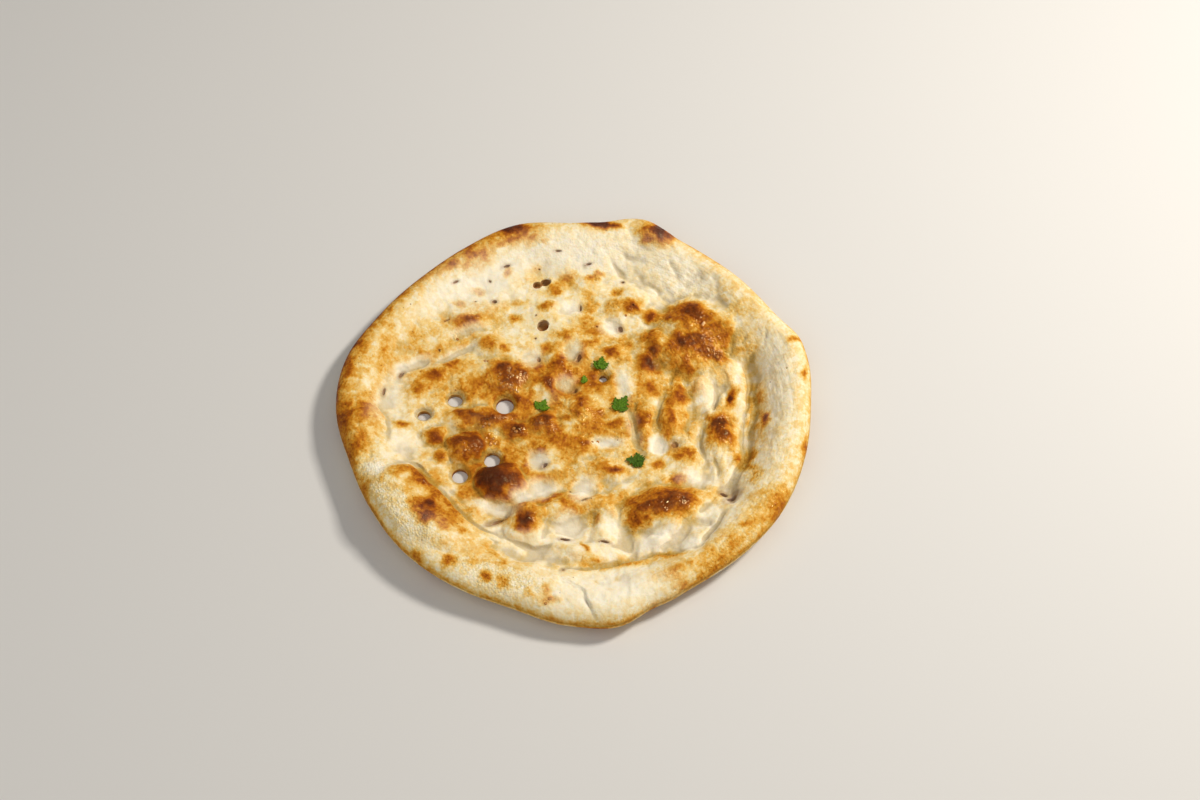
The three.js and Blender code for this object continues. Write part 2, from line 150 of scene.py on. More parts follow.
@dataclass(frozen=True)
class Oval:
    """An oval place on the plan.

    Its middle is x, y, its half sizes are long and wide, and turn leads from +X to its long
    side. amount is a rise, a depth or a strength. steep is how steep its side is, where 2 is
    a soft swell and 0.6 has a clear edge.
    """

    x: float
    y: float
    long: float
    wide: float
    turn: float = 0.0
    amount: float = 1.0
    steep: float = SOFT

    def share(self, x: Points, y: Points) -> Points:
        """Distance from the middle, as a share of the oval's size.

        Args:
            x: places on the plan.
            y: places on the plan.

        Returns:
            The share at each place, which is 1 on the oval's edge.
        """
        c, s = math.cos(math.radians(self.turn)), math.sin(math.radians(self.turn))
        dx, dy = x - self.x, y - self.y
        return np.hypot((dx * c + dy * s) / self.long, (dy * c - dx * s) / self.wide)

    def swell(self, x: Points, y: Points) -> Points:
        """The whole amount in the middle, falling to nothing at the edge."""
        return self.amount * np.maximum(1 - self.share(x, y) ** 2, 0) ** self.steep

    def gap(self, x: Points, y: Points) -> Points:
        """Distance outside the oval's edge, negative inside, measured across the oval."""
        return (self.share(x, y) - 1) * self.wide


def ovals(*rows: tuple[float, ...]) -> tuple[Oval, ...]:
    """Ovals from rows of x, y, long, wide, turn, amount and, where needed, steep."""
    return tuple(Oval(*row) for row in rows)


def strongest(
    places: Sequence[Oval],
    x: Points,
    y: Points,
    low: float,
    high: float,
    ragged: Points | float = 0.0,
) -> Points:
    """How strongly ovals cover each point, where overlapping ones add up towards 1.

    Args:
        places: the ovals, whose amounts are strengths.
        x: places on the plan.
        y: places on the plan.
        low: share of an oval's size up to which it has its full strength.
        high: share of an oval's size where it has faded out.
        ragged: added to those shares at each point, to break up the ovals' edges.

    Returns:
        The cover at each point, from 0 to 1. A strength above 1 covers more than wholly.
    """
    bare = np.ones(x.shape)
    for place in places:
        soft = place.steep / SOFT
        near, far = 1 - (1 - low) * soft, 1 + (high - 1) * soft
        bare = bare * (1 - place.amount * (1 - smooth(place.share(x, y) + ragged * soft, near, far)))
    return 1 - bare


@dataclass(frozen=True)
class Bend:
    """A curved line on the plan from start to end, drawn towards bend.

    width and amount are its half width and its rise or depth.
    """

    start: tuple[float, float]
    bend: tuple[float, float]
    end: tuple[float, float]
    width: float
    amount: float
    steps: int = 12

    def line(self) -> Points:
        """Draws the line.

        Returns:
            Points along it, as rows of x and y.
        """
        a, b, c = (np.array(p, float) for p in (self.start, self.bend, self.end))
        t = np.linspace(0, 1, self.steps + 1)[:, None]
        return (1 - t) ** 2 * a + 2 * t * (1 - t) * b + t * t * c

    def groove(self, x: Points, y: Points, ends: float) -> Points:
        """Depth of a rounded groove along the line.

        Args:
            x: places on the plan.
            y: places on the plan.
            ends: how quickly the groove starts and stops.

        Returns:
            The depth at each place.
        """
        line, far = self.line(), 3 * self.width
        close = (x > line[:, 0].min() - far) & (x < line[:, 0].max() + far)
        close &= (y > line[:, 1].min() - far) & (y < line[:, 1].max() + far)
        gap, _, along = self.near(x[close], y[close])
        share = np.clip(ends * np.minimum(along + 0.05, 1.05 - along), 0, 1)
        depth = np.zeros(x.shape)
        depth[close] = self.amount * np.exp(-((gap / self.width) ** 2)) * share
        return depth

    def near(self, x: Points, y: Points) -> tuple[Points, Points, Points]:
        """Finds the nearest place on the line.

        Args:
            x: places on the plan.
            y: places on the plan.

        Returns:
            The distance, the side of the line (1 is its left), and how far along the line
            the nearest place is, from 0 to 1.
        """
        line = self.line()
        nearest, side, along = np.full(x.shape, np.inf), np.ones(x.shape), np.zeros(x.shape)
        for i, ((px, py), (qx, qy)) in enumerate(zip(line, line[1:])):
            dx, dy = qx - px, qy - py
            t = np.clip(((x - px) * dx + (y - py) * dy) / (dx * dx + dy * dy), 0, 1)
            gap = np.hypot(x - px - t * dx, y - py - t * dy)
            closer = gap < nearest
            nearest = np.where(closer, gap, nearest)
            side = np.where(closer, np.sign(dx * (y - py) - dy * (x - px)), side)
            along = np.where(closer, (i + t) / self.steps, along)
        return nearest, side, along


def bends(*rows: tuple[Any, ...]) -> tuple[Bend, ...]:
    """Curved lines from rows of start, bend, end, width and amount."""
    return tuple(Bend(*row) for row in rows)


# ---------------------------------------------------------------- what lies where
# Rows are x, y, half length, half width, turn, then the rise, depth or strength, and for
# some how steep the side is.

# Outline radius at every 15 degrees, anticlockwise from +X, and small lobes and notches of
# the edge: angle, half width in degrees, and reach.
OUTLINE = (
    131.5, 135, 130, 129.5, 131, 135.5, 129.5, 133, 129, 127, 128.5, 132.5,
    131.5, 126.5, 125.5, 126, 125, 124.5, 130, 130, 126, 127.5, 130, 130.5,
)
EDGE_LOBES = ((72, 5, 2.5), (82, 4, -1.5), (20, 4, 1.5), (280, 6, 2.5), (289, 4, -1.5))
# The puffed rim at every 30 degrees, anticlockwise from +X: its rise, the share of the radius
# where it is highest, and its widths inwards and, alike all round, outwards. EDGE_LIFT is how
# far the edge lifts off the table.
RIM_RISE = (11.4, 10.4, 7.4, 7.4, 5.9, 5.9, 8.4, 8.4, 9.4, 10.4, 10.4, 11.4)
RIM_PLACE = (0.905, 0.92, 0.91, 0.91, 0.93, 0.93, 0.9, 0.88, 0.88, 0.88, 0.92, 0.89)
RIM_INNER = (0.13, 0.14, 0.12, 0.14, 0.1, 0.09, 0.11, 0.14, 0.13, 0.11, 0.09, 0.13)
RIM_OUTER = 0.2
EDGE_LIFT = (8, 7, 5, 4, 4, 5, 7, 8, 7, 4, 5, 7)

# Blisters and mounds.
MOUNDS = ovals(
    (67, 52, 26, 26, 0, 9, 1.1), (43, 42, 10, 17, -12, 3.6, 1.6), (88, 28, 14, 9, -62, 2.4, 1.6),
    (73, 14, 14, 7, 82, 2.8, 1.6), (81, -9, 22, 11, 94, 4.2, 1.5), (55, -2, 17, 8, 84, 3, 1.5),
    (41, -5, 12, 6, 88, 2.6, 1.2), (58, 14, 10, 9, 0, 2.6, 1.4), (53, -60, 27, 17, 4, 9.5, 1.3),
    (48, -76, 14, 6, 42, 3, 1.2), (66, -78, 12, 6, 45, 3, 1.2), (-25, -68, 14, 12, 20, 7, 1),
    (-4, -57, 32, 9, 8, 5, 1.1), (18, -68, 14, 9, 80, 5, 1.1), (8, -86, 26, 6, 2, 2.4, 1),
    (24, -36, 13, 6, 0, 2.6, 1.3), (-59, -20, 11.5, 10.5, 0, 5.4, 0.7), (-77, -14, 8, 7, 0, 3.4, 0.8),
    (-73, -26, 6, 5, 0, 2.2, 0.9), (-40, -42, 14, 12.5, 0, 7, 0.85), (-55, -2, 20, 8, -3, 4, 1.1),
    (-38, 26, 14, 14, 0, 4, 1.3), (-32, -9, 8, 7, 0, 2.2, 1.2), (-17, -4, 10, 8, 0, 3.4, 1.1),
    (-80, 25, 16, 9, 20, 2.8, 1.2), (-48, 47, 11, 9, 10, 2.6, 1.2), (-89, 16, 8, 7, 0, 1.8, 1.2),
    (-59, 63, 13, 6, 15, 1.8, 1.2), (-16, 74, 7, 6, 0, 1.4, 1.2), (-10, 86, 9, 7, 0, 1.6, 1.2),
    (30, 75, 15, 10, 20, 2.4, 1.3), (43, 67, 8, 7, 0, 1.8, 1.2), (-10, 38, 7, 12, 0, 2, 1.2),
    (-13, 22, 6, 9, 0, 1.8, 1.2), (5, 8, 9, 10, 0, 2.2, 1.2), (20, 41, 9, 8, 0, 1.8, 1.2),
    (5, -20, 9, 8, 0, 2, 1.2), (12, -34, 18, 7, 8, 2, 1.3), (61, -26, 14, 9, -5, 2, 1.3),
    (-82, -62, 40, 20, -40, 7, 1.1), (-84, -43, 20, 9, 0, 2.5, 1.2), (-116, -12, 26, 12, 85, 2.5, 1.4),
    (46, 119, 15, 11, -25, 3.5, 1.3), (47, -80, 9, 4, 20, 1.2, 1.4), (-19, -77, 15, 4.5, -4, 1.6, 1.4),
)
# Pricks and troughs that don't go through.
DENTS = ovals(
    (-3, 73, 11, 6, 8, 1.8), (21.5, 60, 8, 6, 0, 2.2), (0, 43, 6.5, 8.5, 0, 2.2),
    (-23, 39, 9, 7, -60, 2), (-4, 21, 8, 7, 0, 2.2), (-19, -28, 8, 7, 0, 2.6),
    (-18.5, -46, 9.5, 8.5, 10, 2.8), (6, -47, 7, 9.5, -20, 2.8), (19, -16.5, 10, 5, 0, 1.6),
    (27, 20, 5, 11, 10, 1.6), (47.5, -19, 6.5, 6.5, 0, 2.6), (47, 0, 4, 14, 0, 1.2),
    (-2, -69.5, 10, 9, 0, 3.4), (20, -70, 8, 10, 0, 2.6), (-42, -62, 11, 8, 10, 3.2),
    (30, -76, 5, 10, -10, 2), (68, -41, 12, 7, -10, 1.6), (-91, 33, 13, 4.5, 30, 1.8),
    (-67, 41, 14, 4, 25, 1.4), (-62, 56, 14, 4.5, 18, 1.2), (-103, 14, 8, 22, -18, 1.8),
    (-93, -22, 15, 8, -40, 2), (-20, -88, 26, 8, -6, 3), (72, -66, 6, 13, -20, 2),
)
# Long hollows: start, bend, end, half width and depth.
VALLEYS = bends(
    ((101, 42), (104, -4), (86, -56), 3.6, 4), ((105, 44), (109, -2), (91, -60), 9.5, 3.2),
    ((80, -46), (84, -52), (90, -55), 4.4, 2.6), ((30, -76), (26, -84), (36, -86), 5, 2),
    ((62, 90), (78, 82), (84, 66), 6, 1.6), ((84, 24), (82, 12), (78, 4), 1.8, 1.8),
    ((62, 22), (66, 10), (64, -6), 3, 1.6), ((72, -10), (70, -24), (76, -42), 4.5, 1.6),
)
# Folds: start, bend, end, how far the step fades, and how high it is on the line's left.
FOLDS = bends(
    ((-39, -78), (-66, -64), (-90, -31), 18, 4.5), ((64, -86), (24, -95), (-6, -98), 12, 3.4),
    ((14, -129), (5, -114), (-7, -103), 9, -1.8), ((-101, -13), (-105, -5), (-110, 3), 9, 2),
    ((99, 44), (101.5, -4), (84, -56), 14, 3.8),
)
# Prick holes through the dough.
HOLES = ovals(
    (-38.5, 8, 5, 5.2, -25), (-66.5, 11.5, 4.2, 4, 0), (-83.5, 1.5, 3.6, 3, 0),
    (-44.7, -27, 4.4, 4.6, -10), (-62, -37, 4.4, 4.4, -15), (16.5, 26, 2.3, 2.2, 0),
)
# Pits that end in the dough; amount is the height of the floor.
PITS = ovals(
    (-17, 90.5, 2.9, 2.3, 20, 1.4), (-21.5, 88.6, 2.7, 2.3, 15, 1.4), (-18, 60, 3.4, 3.2, 20, 1.4),
)

# Sharp creases of the skin: start, bend, end, half width and depth.
CREASES = bends(
    ((102, 39), (96.5, 24), (98.5, 6), 2.2, 1.6), ((98.5, 6), (101.5, -6), (98, -17), 2.2, 1.8),
    ((98, -17), (92, -28), (90, -38), 2.2, 1.8), ((90, -38), (88, -46), (87, -54), 2.2, 2),
    ((97.5, 51), (97, 47), (96, 43), 0.7, 0.9), ((108, 51), (107.5, 46), (105.5, 42), 0.7, 0.8),
    ((102, 38), (101, 34), (100, 30), 0.8, 1), ((79.5, 24), (82.5, 12), (77, -2), 1.1, 1.6),
    ((84.5, 18), (85.5, 8), (84.5, 2), 0.8, 0.7), ((58, 31), (54, 22), (52, 12), 0.9, 0.9),
    ((49, 17), (46.5, 5), (49.5, -14), 0.9, 1.1), ((84, -60), (78, -74), (63, -88), 1.6, 1.4),
    ((64, -86), (24, -95), (-6, -98), 0.9, 1.4), ((77, -55), (74, -62), (66, -63), 1, 0.8),
    ((-89, -32), (-84, -31.5), (-79, -40), 0.9, 2), ((-79, -40), (-68, -60), (-42, -76), 1.2, 1.4),
    ((-6, -103), (5, -114), (13, -128), 0.7, 0.9), ((-34, -78), (-24, -83.5), (-7, -80), 1, 1.2),
    ((31, 5), (33, -12), (41, -29), 2, 2.2), ((33, 9), (36.5, 6), (34, 0), 0.7, 1.2),
    ((-98, 25), (-92, 35), (-80, 38), 1.6, 1.3), ((-76, 34), (-70, 42), (-56, 46), 1.6, 1.1),
    ((-68, -19), (-66, -10), (-54, -13), 0.8, 1), ((-50, -17), (-48, -27), (-56, -31), 0.8, 0.8),
    ((-112, 4), (-103, -4), (-99, -22), 1.2, 0.8), ((-118, -14), (-110, -24), (-108, -38), 1, 0.5),
    ((-122, -8), (-115, -20), (-114, -36), 1, 0.5), ((27, 109), (33, 106), (41, 97), 1.8, 0.8),
    ((33, 99), (36, 94), (42, 89), 1.6, 0.7), ((53, 102), (58, 96), (61, 88), 1.6, 0.7),
    ((43, 90), (49, 86), (54, 80), 1.5, 0.6), ((66, 96), (71, 90), (73, 82), 1.6, 0.7),
    ((19, 105), (26, 99), (29, 91), 1.5, 0.7), ((76, 90), (83, 80), (86, 66), 1.6, 0.9),
    ((50, 92), (56, 84), (58, 78), 1.2, 0.6), ((90, 60), (92, 46), (90, 36), 1.2, 0.8),
    ((86, 0), (90, -14), (88, -28), 1.4, 0.4), ((72, -2), (70, -16), (74, -32), 1.3, 1),
    ((77, -20), (80, -32), (79, -44), 1.2, 0.9), ((64, 4), (62, -8), (64, -20), 1.1, 0.7),
    ((-60, -68), (-48, -78), (-36, -82), 0.9, 0.6), ((-22, -60), (-12, -50), (2, -56), 1.2, 0.9),
    ((-62, 2), (-50, 8), (-44, 6), 1.1, 0.8),
)
# Slits and pinholes that end in the dough; amount is the depth.
SLITS = ovals(
    (-39.5, 99.5, 2.1, 0.8, 20, 1.4), (-9.5, 108.5, 1.9, 0.6, 0, 1.2), (-49, 90, 1, 0.7, -30, 0.9),
    (-68.5, 87, 1.9, 0.7, 30, 1.1), (-46, 76.5, 1.6, 1.1, 10, 1.8), (-73, 63.5, 2.2, 0.6, 30, 1),
    (-22, 52, 0.7, 0.6, 0, 1), (-22, 67, 0.6, 0.5, 0, 1), (-57, 76.5, 0.8, 0.5, 20, 0.8),
    (-20.5, 99, 0.7, 0.5, 0, 0.9), (8, 101, 1.9, 0.7, 10, 1.2), (28, 90, 1.1, 0.9, 0, 1.6),
    (-97.3, 27, 2.4, 0.9, 55, 1.6), (-106, 14, 0.8, 2.5, -10, 1.3), (0.6, 17.4, 2, 1.7, 50, 1.5),
    (-15.6, -31.2, 2, 1.3, 20, 1.4), (2.6, 38, 3, 1.7, 65, 1.6), (26.4, 58.4, 1.6, 2, 20, 1.5),
    (-20, 38, 1.3, 2, 20, 1.2), (56, -18.6, 2.2, 2.6, 0, 1.6), (7, -54.3, 2.9, 0.7, 30, 1.2),
    (-40.5, -66.7, 4, 1.5, 20, 2.2), (-4, -77.6, 2.9, 0.8, -4, 1.6), (17.5, -79.6, 2.8, 0.7, -8, 1.5),
    (86.3, -54, 3.6, 2.2, 40, 3), (82, -50, 2.2, 1.6, -30, 2.4), (-5, -98, 1.1, 1.2, 0, 1.5),
    (3.6, 73, 0.8, 2, 0, 1.2), (33.8, 72.6, 0.7, 0.6, 0, 1), (-1.5, -48.3, 0.6, 0.5, 0, 0.9),
    (13, 59.5, 0.7, 0.5, 0, 0.9), (-76.5, 43.5, 0.7, 0.6, 0, 0.9), (118.5, 21.5, 0.6, 0.5, 0, 0.8),
)

# Where the oven coloured the dough; amount is how far, from 0 to 1. The rows at (101, 8) and (95, -32) lie
# along the right valley and add painted shade there as well.
GOLDEN = ovals(
    (-8, -6, 62, 58, 0, 0.28), (-50, -20, 38, 34, 0, 0.22), (-45, -44, 22, 16, 0, 0.26),
    (-40, 10, 52, 34, 0, 0.24), (10, 40, 34, 50, 0, 0.14), (70, 48, 34, 30, 20, 0.3),
    (-70, 56, 42, 14, 22, 0.2), (-20, -58, 44, 12, 4, 0.16), (-117, -8, 15, 28, 0, 0.34),
    (-84, 28, 26, 13, 25, 0.14), (-72, -58, 30, 18, -40, 0.24), (52, -56, 30, 16, 4, 0.42),
    (83, -9, 11, 13, 0, 0.34), (64, -12, 32, 34, 0, 0.08), (50, 6, 20, 36, 4, 0.12),
    (106, -66, 14, 13, -50, 0.22), (82, -88, 22, 11, 40, 0.14), (60, -102, 20, 9, 18, 0.2),
    (46, 118, 14, 10, -20, 0.36), (-32, 119, 16, 9, 8, 0.36), (-60, 104, 18, 10, 30, 0.36),
    (-86, -46, 22, 10, 0, 0.2), (-10, 90, 26, 10, 0, 0.14), (-56, 72, 22, 10, 20, 0.1),
    (20, -92, 34, 6, 2, 0.26), (101, 8, 6, 32, 0, 0.3), (-108, 40, 22, 18, 50, 0.2),
    (95, -32, 5, 18, 16, 0.34), (-50, -90, 30, 10, -10, 0.14),
)
BROWNED = ovals(
    (-39, 123.5, 6.4, 4.2, 15, 0.9), (-31, 121, 5, 5, 0, 0.63), (-36, 115, 3.5, 3, 0, 0.5),
    (-42, 112, 3, 2, 0, 0.4), (-18.5, 114.5, 3, 2, 0, 0.4), (14, 126, 9.8, 4.4, -18, 1.15),
    (24, 124, 5, 2.2, -20, 0.65), (49.5, 120, 4.2, 6.8, 0, 0.96), (42, 113, 3.5, 2.4, 0, 0.5),
    (54.5, 115.5, 5, 4, 0, 0.5), (-58.5, 105, 5, 4, 0, 0.5), (-52.5, 103, 3, 6, 0, 0.26),
    (-70, 97, 5, 3, 30, 0.45), (-66.5, 74.5, 3.4, 2.6, 0, 0.7), (-56, 83, 4.6, 2.4, 0, 0.9),
    (-38.5, 95, 2.6, 3.4, 0, 0.74), (-22.5, 99, 3.8, 2.8, 0, 0.35), (-11, 84.5, 5.5, 4.2, 0, 0.5),
    (-16, 73.8, 4.2, 3.4, 0, 0.43), (-34, 77, 9, 2.6, 5, 0.28), (-59.5, 62.5, 5.8, 3.8, 10, 0.45),
    (-51, 67, 5, 2.4, 20, 0.2), (-34.5, 65.5, 4.2, 3.4, 0, 0.42), (-86, 54, 8, 3.4, 15, 0.12),
    (-48, 47.5, 5.5, 5, 0, 0.43), (-38, 44.5, 4.4, 3.2, 0, 0.46), (-77, 45, 3, 3.6, 0, 0.16),
    (-79.5, 27, 6.6, 4, 5, 0.62), (-80, 24, 11, 7, 0, 0.24), (-68.5, 34, 5.6, 2.8, 10, 0.51),
    (-88.5, 16, 5.4, 5, 0, 0.36), (-125, 22, 4, 4.6, 0, 0.4), (-95, -6, 5, 3, -10, 0.62),
    (-6, 91, 5, 4, 0, 0.4), (9.5, 91.5, 4.5, 3.2, 0, 0.56), (14, 96, 3, 2.4, 0, 0.5),
    (24, 83.5, 5, 2.8, 25, 0.56), (33.5, 71.5, 5.4, 4.8, 0, 0.56), (43.5, 66.5, 5.4, 4.4, 0, 0.72),
    (25, 75, 9, 5, 10, 0.34), (9, 74, 5, 9, 0, 0.3), (10, 60, 6, 8, 0, 0.26),
    (-14.5, 45, 4, 4.6, 0, 0.42), (-8, 38, 3.6, 5.6, 0, 0.51), (-7, 53, 5, 3, 0, 0.36),
    (-13.5, 21, 4, 5.8, 0, 0.53), (20.5, 42, 4.6, 3.8, 0, 0.57), (13, 25, 7, 7, 0, 0.46),
    (8, 47, 5, 4, 0, 0.33), (30, 48, 6, 5, 0, 0.3), (4, 9, 4.4, 5.6, 0, 0.68),
    (1, 2, 3.6, 4.6, 0, 0.32), (12, 4, 6, 5, 0, 0.25), (-37, 27.5, 10, 11, 90, 0.42),
    (-40, 32.5, 4.2, 5.4, 0, 0.48), (-36.5, 23.5, 6.4, 5.4, 0, 0.32), (-29.5, 26, 3.4, 5.4, 0, 0.42),
    (-53.5, -1.5, 10, 4, -4, 0.64), (-62, 3, 9, 3, 10, 0.4), (-42, -2, 6, 4, -10, 0.1),
    (-32, -9, 5, 4.4, 0, 0.6), (-16.5, -2.3, 5, 4.8, 0, 0.62), (-8.5, -1.5, 7, 3, 0, 0.55),
    (-58.5, -21, 10, 10, 0, 0.24, 0.6), (-62, -14.5, 6, 3.4, 30, 0.42), (-77, -14, 6.4, 5.4, 0, 0.52),
    (-73, -26.5, 4, 4, 0, 0.48), (-39, -43, 15, 11, 0, 0.5, 0.9), (-47, -41, 6, 5.5, 0, 0.52),
    (-36, -42, 8, 6, 0, 0.4), (-36, -44.5, 5.4, 1.7, 0, 0.55), (-50, -37, 8, 8, -40, 0.57),
    (-41, -30, 9, 5, 0, 0.54), (-117, -28, 6, 6, 0, 0.2), (-127, -6, 3, 9, 0, 0.1),
    (-112.5, -50.5, 2.6, 4, 0, 0.3), (-101, -49, 4, 2.2, 35, 0.08), (-91, -42.5, 7, 3, 12, 0.22),
    (-80, -49, 8, 3, -42, 0.18), (-79, -66, 8, 7, 0, 0.6), (-77.5, -62.5, 6, 3.6, 5, 0.66),
    (-76, -73, 5.4, 4.2, 0, 0.76), (-68, -69, 11, 7, -15, 0.34), (-67, -77, 4, 3.4, 0, 0.48),
    (-57.5, -77, 3.4, 3, 0, 0.36), (-82, -93, 3, 2.4, -35, 0.45), (-65.5, -97, 4.2, 4, 0, 0.5),
    (-53, -97, 3.4, 2.6, 0, 0.1), (-45, -106, 4.2, 3.2, 0, 0.6), (-35.5, -108.5, 4.4, 4.2, 0, 0.44),
    (-35.5, -96, 2, 2, 0, 0.26), (-11, -118.5, 5, 2.6, 0, 0.5), (-13.5, -113.5, 3, 3, 0, 0.32),
    (-21, -116, 4, 3, 0, 0.2), (-24.2, -68.5, 7, 7.6, 0, 0.59), (-25, -67.2, 4.6, 4.2, 0, 0.76),
    (-26.5, -73, 4.2, 3.4, 0, 0.63), (-11, -53.5, 8, 4, 22, 0.57), (-3, -57, 5, 3, 0, 0.33),
    (13, -64.5, 4, 5, 0, 0.38), (7.5, -83, 4.4, 1.8, -50, 0.52), (6.5, -20, 4, 4.6, 0, 0.52),
    (10, -11, 6, 3.4, 0, 0.28), (24, -36, 6, 2.8, 0, 0.72), (28, -53.5, 3.8, 5.4, 0, 0.32),
    (36.5, -6, 5, 5.6, 0, 0.48), (24, -5, 6.6, 2.6, 5, 0.5), (46.5, -32, 4.6, 4.4, 0, 0.66),
    (61, -25, 7, 4.4, 0, 0.46), (57, -40, 4, 3.4, 0, 0.84), (34, -30, 6, 3, -10, 0.4),
    (48, -61, 13, 6.4, 14, 0.66), (57.5, -57, 10, 6, 0, 0.36), (33, -68, 4.6, 6.6, 0, 0.5),
    (65, -55, 8, 4, -20, 0.22), (49.5, -51.5, 14, 4, 8, 0.36), (66, 65.5, 6.6, 7.4, 0, 0.76),
    (73.4, 59.5, 6, 6, 0, 0.58), (56, 65.8, 8, 7, 0, 0.58), (62, 45.5, 10, 7, -30, 0.8),
    (78, 38.6, 9, 3.8, -4, 0.76), (77, 49.5, 12, 9, 0, 0.54), (63, 27.2, 8, 4.6, -10, 0.54),
    (42.5, 38, 5.4, 10, -12, 0.62), (46, 34, 5.6, 5.6, 0, 0.86), (43, 50, 7, 6, 0, 0.46),
    (57, 15, 8, 6.4, 0, 0.28), (60, 11, 4, 4, 0, 0.5), (53, -3, 3.4, 11, 0, 0.48),
    (44, 19, 3.6, 6.2, 0, 0.54), (38, 21, 3, 6, 0, 0.26), (82.6, -5, 6.6, 5, 0, 0.82),
    (84.3, -14.5, 6, 4.8, -20, 0.3), (88.8, 11.5, 3.2, 6.6, -8, 0.95), (106.8, -5.5, 2.6, 5, -10, 0.84),
    (97.9, -27, 3.4, 5.2, -20, 0.78), (127.8, -26, 2.6, 5, -8, 0.5), (124, 41, 3.4, 2.6, 0, 0.5),
    (129.5, 18.5, 1.8, 4.4, 0, 0.5), (112, -60, 4, 3, 0, 0.02), (104, -57, 5, 4, 0, 0.08),
    (93.5, -75, 5, 2.6, 15, 0.36), (86, -95, 5, 3.4, 10, 0.02), (99, -66, 4, 3, 0, 0.15),
    (62, -112, 6, 4, 20, 0.34), (70, -107, 5, 3, 20, 0.26),
    (51, -89.5, 10, 3.4, -4, 0.46), (24, -105, 2, 2.6, 0, 0.26), (21, -112, 2, 2, 0, 0.24),
    (13, -106, 2, 2, 0, 0.24),
)
# How brown the edge line is and how golden the rim beside it, at every 30 degrees.
EDGE_BROWN = (0.3, 0.4, 0.5, 0.4, 0.72, 0.8, 0.7, 0.55, 0.42, 0.5, 0.36, 0.3)
EDGE_GOLD = (0.02, 0.03, 0.1, 0.03, 0.24, 0.36, 0.4, 0.08, 0.01, 0.01, 0.03, 0.12)
# Floury places that stayed pale.
FLOURED = ovals(
    (-4, 21.5, 6, 5, 20, 0.55), (-19, -27.5, 6.5, 5.5, 0, 0.85), (-18, -46, 9, 8, 0, 0.9),
    (6, -47, 7, 9, -20, 0.9), (-0.5, 43, 6, 7.5, 0, 0.6), (21.5, 60, 7, 5.5, 0, 0.9),
    (48, -19, 6.5, 6.5, 0, 0.85, 0.5), (19, -17, 9, 4, 0, 0.9), (75, 14, 6.5, 13, 0, 0.5),
    (91, 28, 7.5, 9, 0, 0.2), (28, 20, 4.6, 11, 5, 0.7), (-2, -69.5, 9, 8, 0, 0.7, 0.9),
    (20, -70, 6.5, 8, 0, 0.4), (-42, -58, 14, 5, -12, 0.85), (-20, -77.5, 13, 4.2, -4, 0.4),
    (3, -87, 4.4, 5, 0, 0.35), (20, -86.5, 9, 4, 0, 0.35), (45, -79, 11, 4.4, 25, 0.75),
    (63, -83, 6, 6, 20, 0.7), (-68, 41, 13, 3.2, 25, 0.5), (-91, 34, 12, 3.4, 30, 0.7),
    (-62, 57, 13, 3.4, 20, 0.45), (-3, 73, 8, 5, 8, 0.8), (-24, 39, 7, 7, 0, 0.6),
    (34, -10, 3.4, 14, 14, 0.35), (68, -40, 11, 6, -10, 0.7), (-106, -42, 6.5, 5, 0, 0.7),
    (-15, 12, 7, 5, 0, 0.12), (20, -113, 34, 13, 8, 0.6), (74, -66, 7, 11, -20, 0.4),
    (-103, 13, 7, 22, -20, 0.5), (-92, -20, 9, 9, 0, 0.4), (-27, -52, 6.4, 5.4, 0, 0.95),
    (48, -76, 14, 5, 20, 0.5), (113, 20, 9, 36, 0, 0.25), (60, 95, 26, 14, -40, 0.3),
    (-54, 88, 34, 17, 28, 0.5), (0, 108, 40, 14, 0, 0.45), (-70, -80, 20, 8, -35, 0.1),
)

# Where melted butter lies; amount is how wet.
BUTTERED = ovals(
    (-38, 25, 15, 14, 0, 0.9), (-50, -3, 20, 9, -5, 0.8), (-17, -5, 16, 9, 0, 0.8),
    (-50, -17, 20, 10, 0, 0.6), (8, 14, 26, 30, 0, 0.6), (70, 50, 28, 22, 20, 0.65),
    (84, -8, 10, 18, 0, 0.7), (40, -4, 12, 20, 0, 0.5), (50, -60, 24, 12, 4, 0.55),
    (-50, 40, 18, 10, 0, 0.5), (-60, 62, 14, 8, 15, 0.45), (40, -34, 18, 8, 0, 0.6),
    (82, 38, 12, 8, 0, 0.7), (-12, 62, 26, 30, 0, 0.35), (110, -62, 14, 12, -40, 0.4),
    (-112, -20, 14, 26, 0, 0.3), (-40, -42, 14, 12, 0, 0.35), (-25, -66, 12, 10, 0, 0.5),
)
